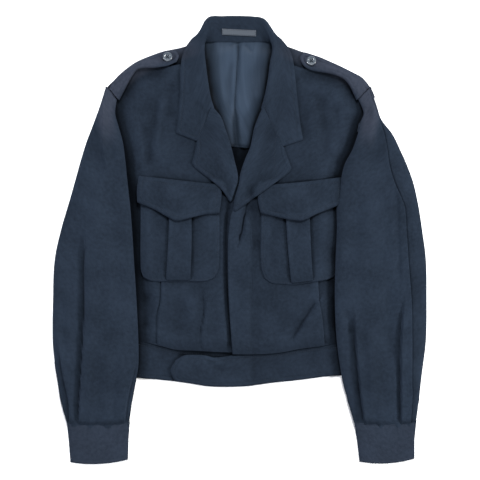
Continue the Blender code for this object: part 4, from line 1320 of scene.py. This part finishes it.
def painted_light_and_shade():
    """Two attributes for painted light and shade: how far a place stands above what is near, which paints
    shade in hollows and highlight on ridges, and the share of a paler colour painted as a highlight along
    the shoulders and at the cuffs.
    """
    around = [pile.blurred(pile.heights, cells) for cells in (3, 8, 14)]
    for piece in cloths:
        mesh = piece.data
        x, y, z = ((corners_of(mesh) - shift) / MM).T
        # Painted shade and highlight: darker where a place lies below what is near, paler where it stands
        # above
        stand = np.mean([z + SERGE - pile.read(heights, x, y) for heights in around], axis=0)
        shade = np.clip(0.5 + stand / PAINTED_SHADE_RANGE, 0, 1)
        # Painted highlight: a paler colour at the cuffs and along the shoulders
        painted_highlight = np.full_like(x, CUFF_PAINTED_HIGHLIGHT if piece.name.startswith("cuff") else 0.0)
        for path in PAINTED_HIGHLIGHT_SHOULDERS:
            off, share = beside(path, x, y)
            edge = smooth_step((np.abs(off) - PAINTED_HIGHLIGHT_HALF_WIDTH) / PAINTED_HIGHLIGHT_FADE)
            painted_highlight += SHOULDER_PAINTED_HIGHLIGHT * faded(share) * (1 - edge)
        for name, values in (("painted_light_and_shade", shade), ("painted_highlight", painted_highlight)):
            mesh.attributes.new(name, "FLOAT", "POINT").data.foreach_set("value", values)


def build_topstitching():
    """Lock stitches sunk into their grooves, one small rounded bead each."""
    whole = bmesh.new()
    for seam in seams:
        kept = np.concatenate([[True], np.linalg.norm(np.diff(seam, axis=0), axis=1) > 0.05])
        seam = seam[kept]
        gone = np.concatenate([[0], np.cumsum(np.linalg.norm(np.diff(seam, axis=0), axis=1))])
        row = bmesh.new()
        for middle in np.arange(STITCH_PITCH / 2, gone[-1], STITCH_PITCH):
            start, end = [
                Vector([np.interp(middle + half, gone, seam[:, k]) for k in range(3)])
                for half in (-STITCH_LENGTH / 2, STITCH_LENGTH / 2)
            ]
            turn = (end - start).to_track_quat("X", "Z").to_matrix().to_4x4()
            spot = (start + end) / 2 * MM + Vector(shift)
            bead(row, spot, turn, STITCH_LENGTH, STITCH_WIDTH, STITCH_HEIGHT)
        part = mesh_of("stitch row", row)
        whole.from_mesh(part)
        bpy.data.meshes.remove(part)
    thread_piece("topstitching", whole)


def build_button_threads():
    """The thread that crosses each button between its four holes."""
    for side, (x, y) in BUTTONS.items():
        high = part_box(f"strap_button_{side}")[1][2]
        strands = bmesh.new()
        for angle in (math.pi / 4, -math.pi / 4):
            turn = Matrix.Rotation(angle, 4, "Z")
            for across in (-STRAND_OFFSET, STRAND_OFFSET):
                spot = Vector((x * MM + shift[0], y * MM + shift[1], high - BUTTON_DISH * MM))
                spot += turn @ Vector((0, across * MM, 0))
                bead(strands, spot, turn, STRAND_LENGTH, STRAND_WIDTH, STRAND_HEIGHT, sides=10)
        thread_piece(f"button_thread_{side}", strands)


def dress_buttons():
    for side in BUTTONS:
        node = bpy.data.objects[f"strap_button_{side}"]
        for slot in node.material_slots:
            slot.material = finishes["button"]


def add_light(name, spot, size, power, colour):
    """A round lamp that faces the middle of the floor."""
    lamp = bpy.data.lights.new(name, "AREA")
    lamp.shape = "DISK"
    lamp.size = size
    lamp.energy = power
    lamp.color = linear(colour)[:3]
    light = put(name, lamp)
    light.location = spot
    light.rotation_mode = "QUATERNION"
    light.rotation_quaternion = (-Vector(spot)).to_track_quat("-Z", "Y")


def build_stage():
    shape = bmesh.new()
    bmesh.ops.create_grid(shape, x_segments=1, y_segments=1, size=FLOOR_HALF)
    bmesh.ops.translate(shape, verts=shape.verts, vec=(0, 0, -FLOOR_DROP * MM))
    mesh = mesh_of("floor", shape)
    mesh.materials.append(painted_floor())
    put("floor", mesh)
    world = bpy.data.worlds.new("soft studio")
    world.use_nodes = True
    sky = world.node_tree.nodes["Background"].inputs
    sky["Color"].default_value = (1, 1, 1, 1)
    sky["Strength"].default_value = SKY_STRENGTH
    bpy.context.scene.world = world
    for name, facts in LIGHTS.items():
        add_light(name, *facts)
    bpy.context.scene.view_settings.view_transform = "Standard"


def build_camera():
    """Straight above, with a long lens, framed as the photograph."""
    seen = PHOTO_SIZE * PHOTO_SCALE * MM
    data = bpy.data.cameras.new("above")
    data.lens = 120
    data.sensor_width = 36
    camera = put("above", data)
    distance = seen * data.lens / data.sensor_width
    camera.location = (PHOTO_CENTRE[0] * MM + shift[0], PHOTO_CENTRE[1] * MM + shift[1], distance)
    bpy.context.scene.camera = camera


finishes = {
    "serge": wool_serge(),
    "lining": satin_lining(),
    "label": woven_label(),
    "button": moulded_button(),
    "thread": spun_thread(),
}
seams = []
cloths = []
pile = Pile()
# The solids' frame is centred on the jacket's box; the tables' is not quite
shift_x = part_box("back")[0].x - BACK_LEAST_X * MM
shift_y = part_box("waistband_left")[0].y - LEFT_BAND_LEAST_Y * MM
shift = np.array([shift_x, shift_y, 0.0])
build_back()
build_lining()
build_fronts()
build_pockets()
build_lapels()
build_collar()
build_label()
build_waistband()
build_straps()
build_sleeves()
build_cuffs()
dress_buttons()
build_button_threads()
build_topstitching()
painted_light_and_shade()
build_stage()
build_camera()
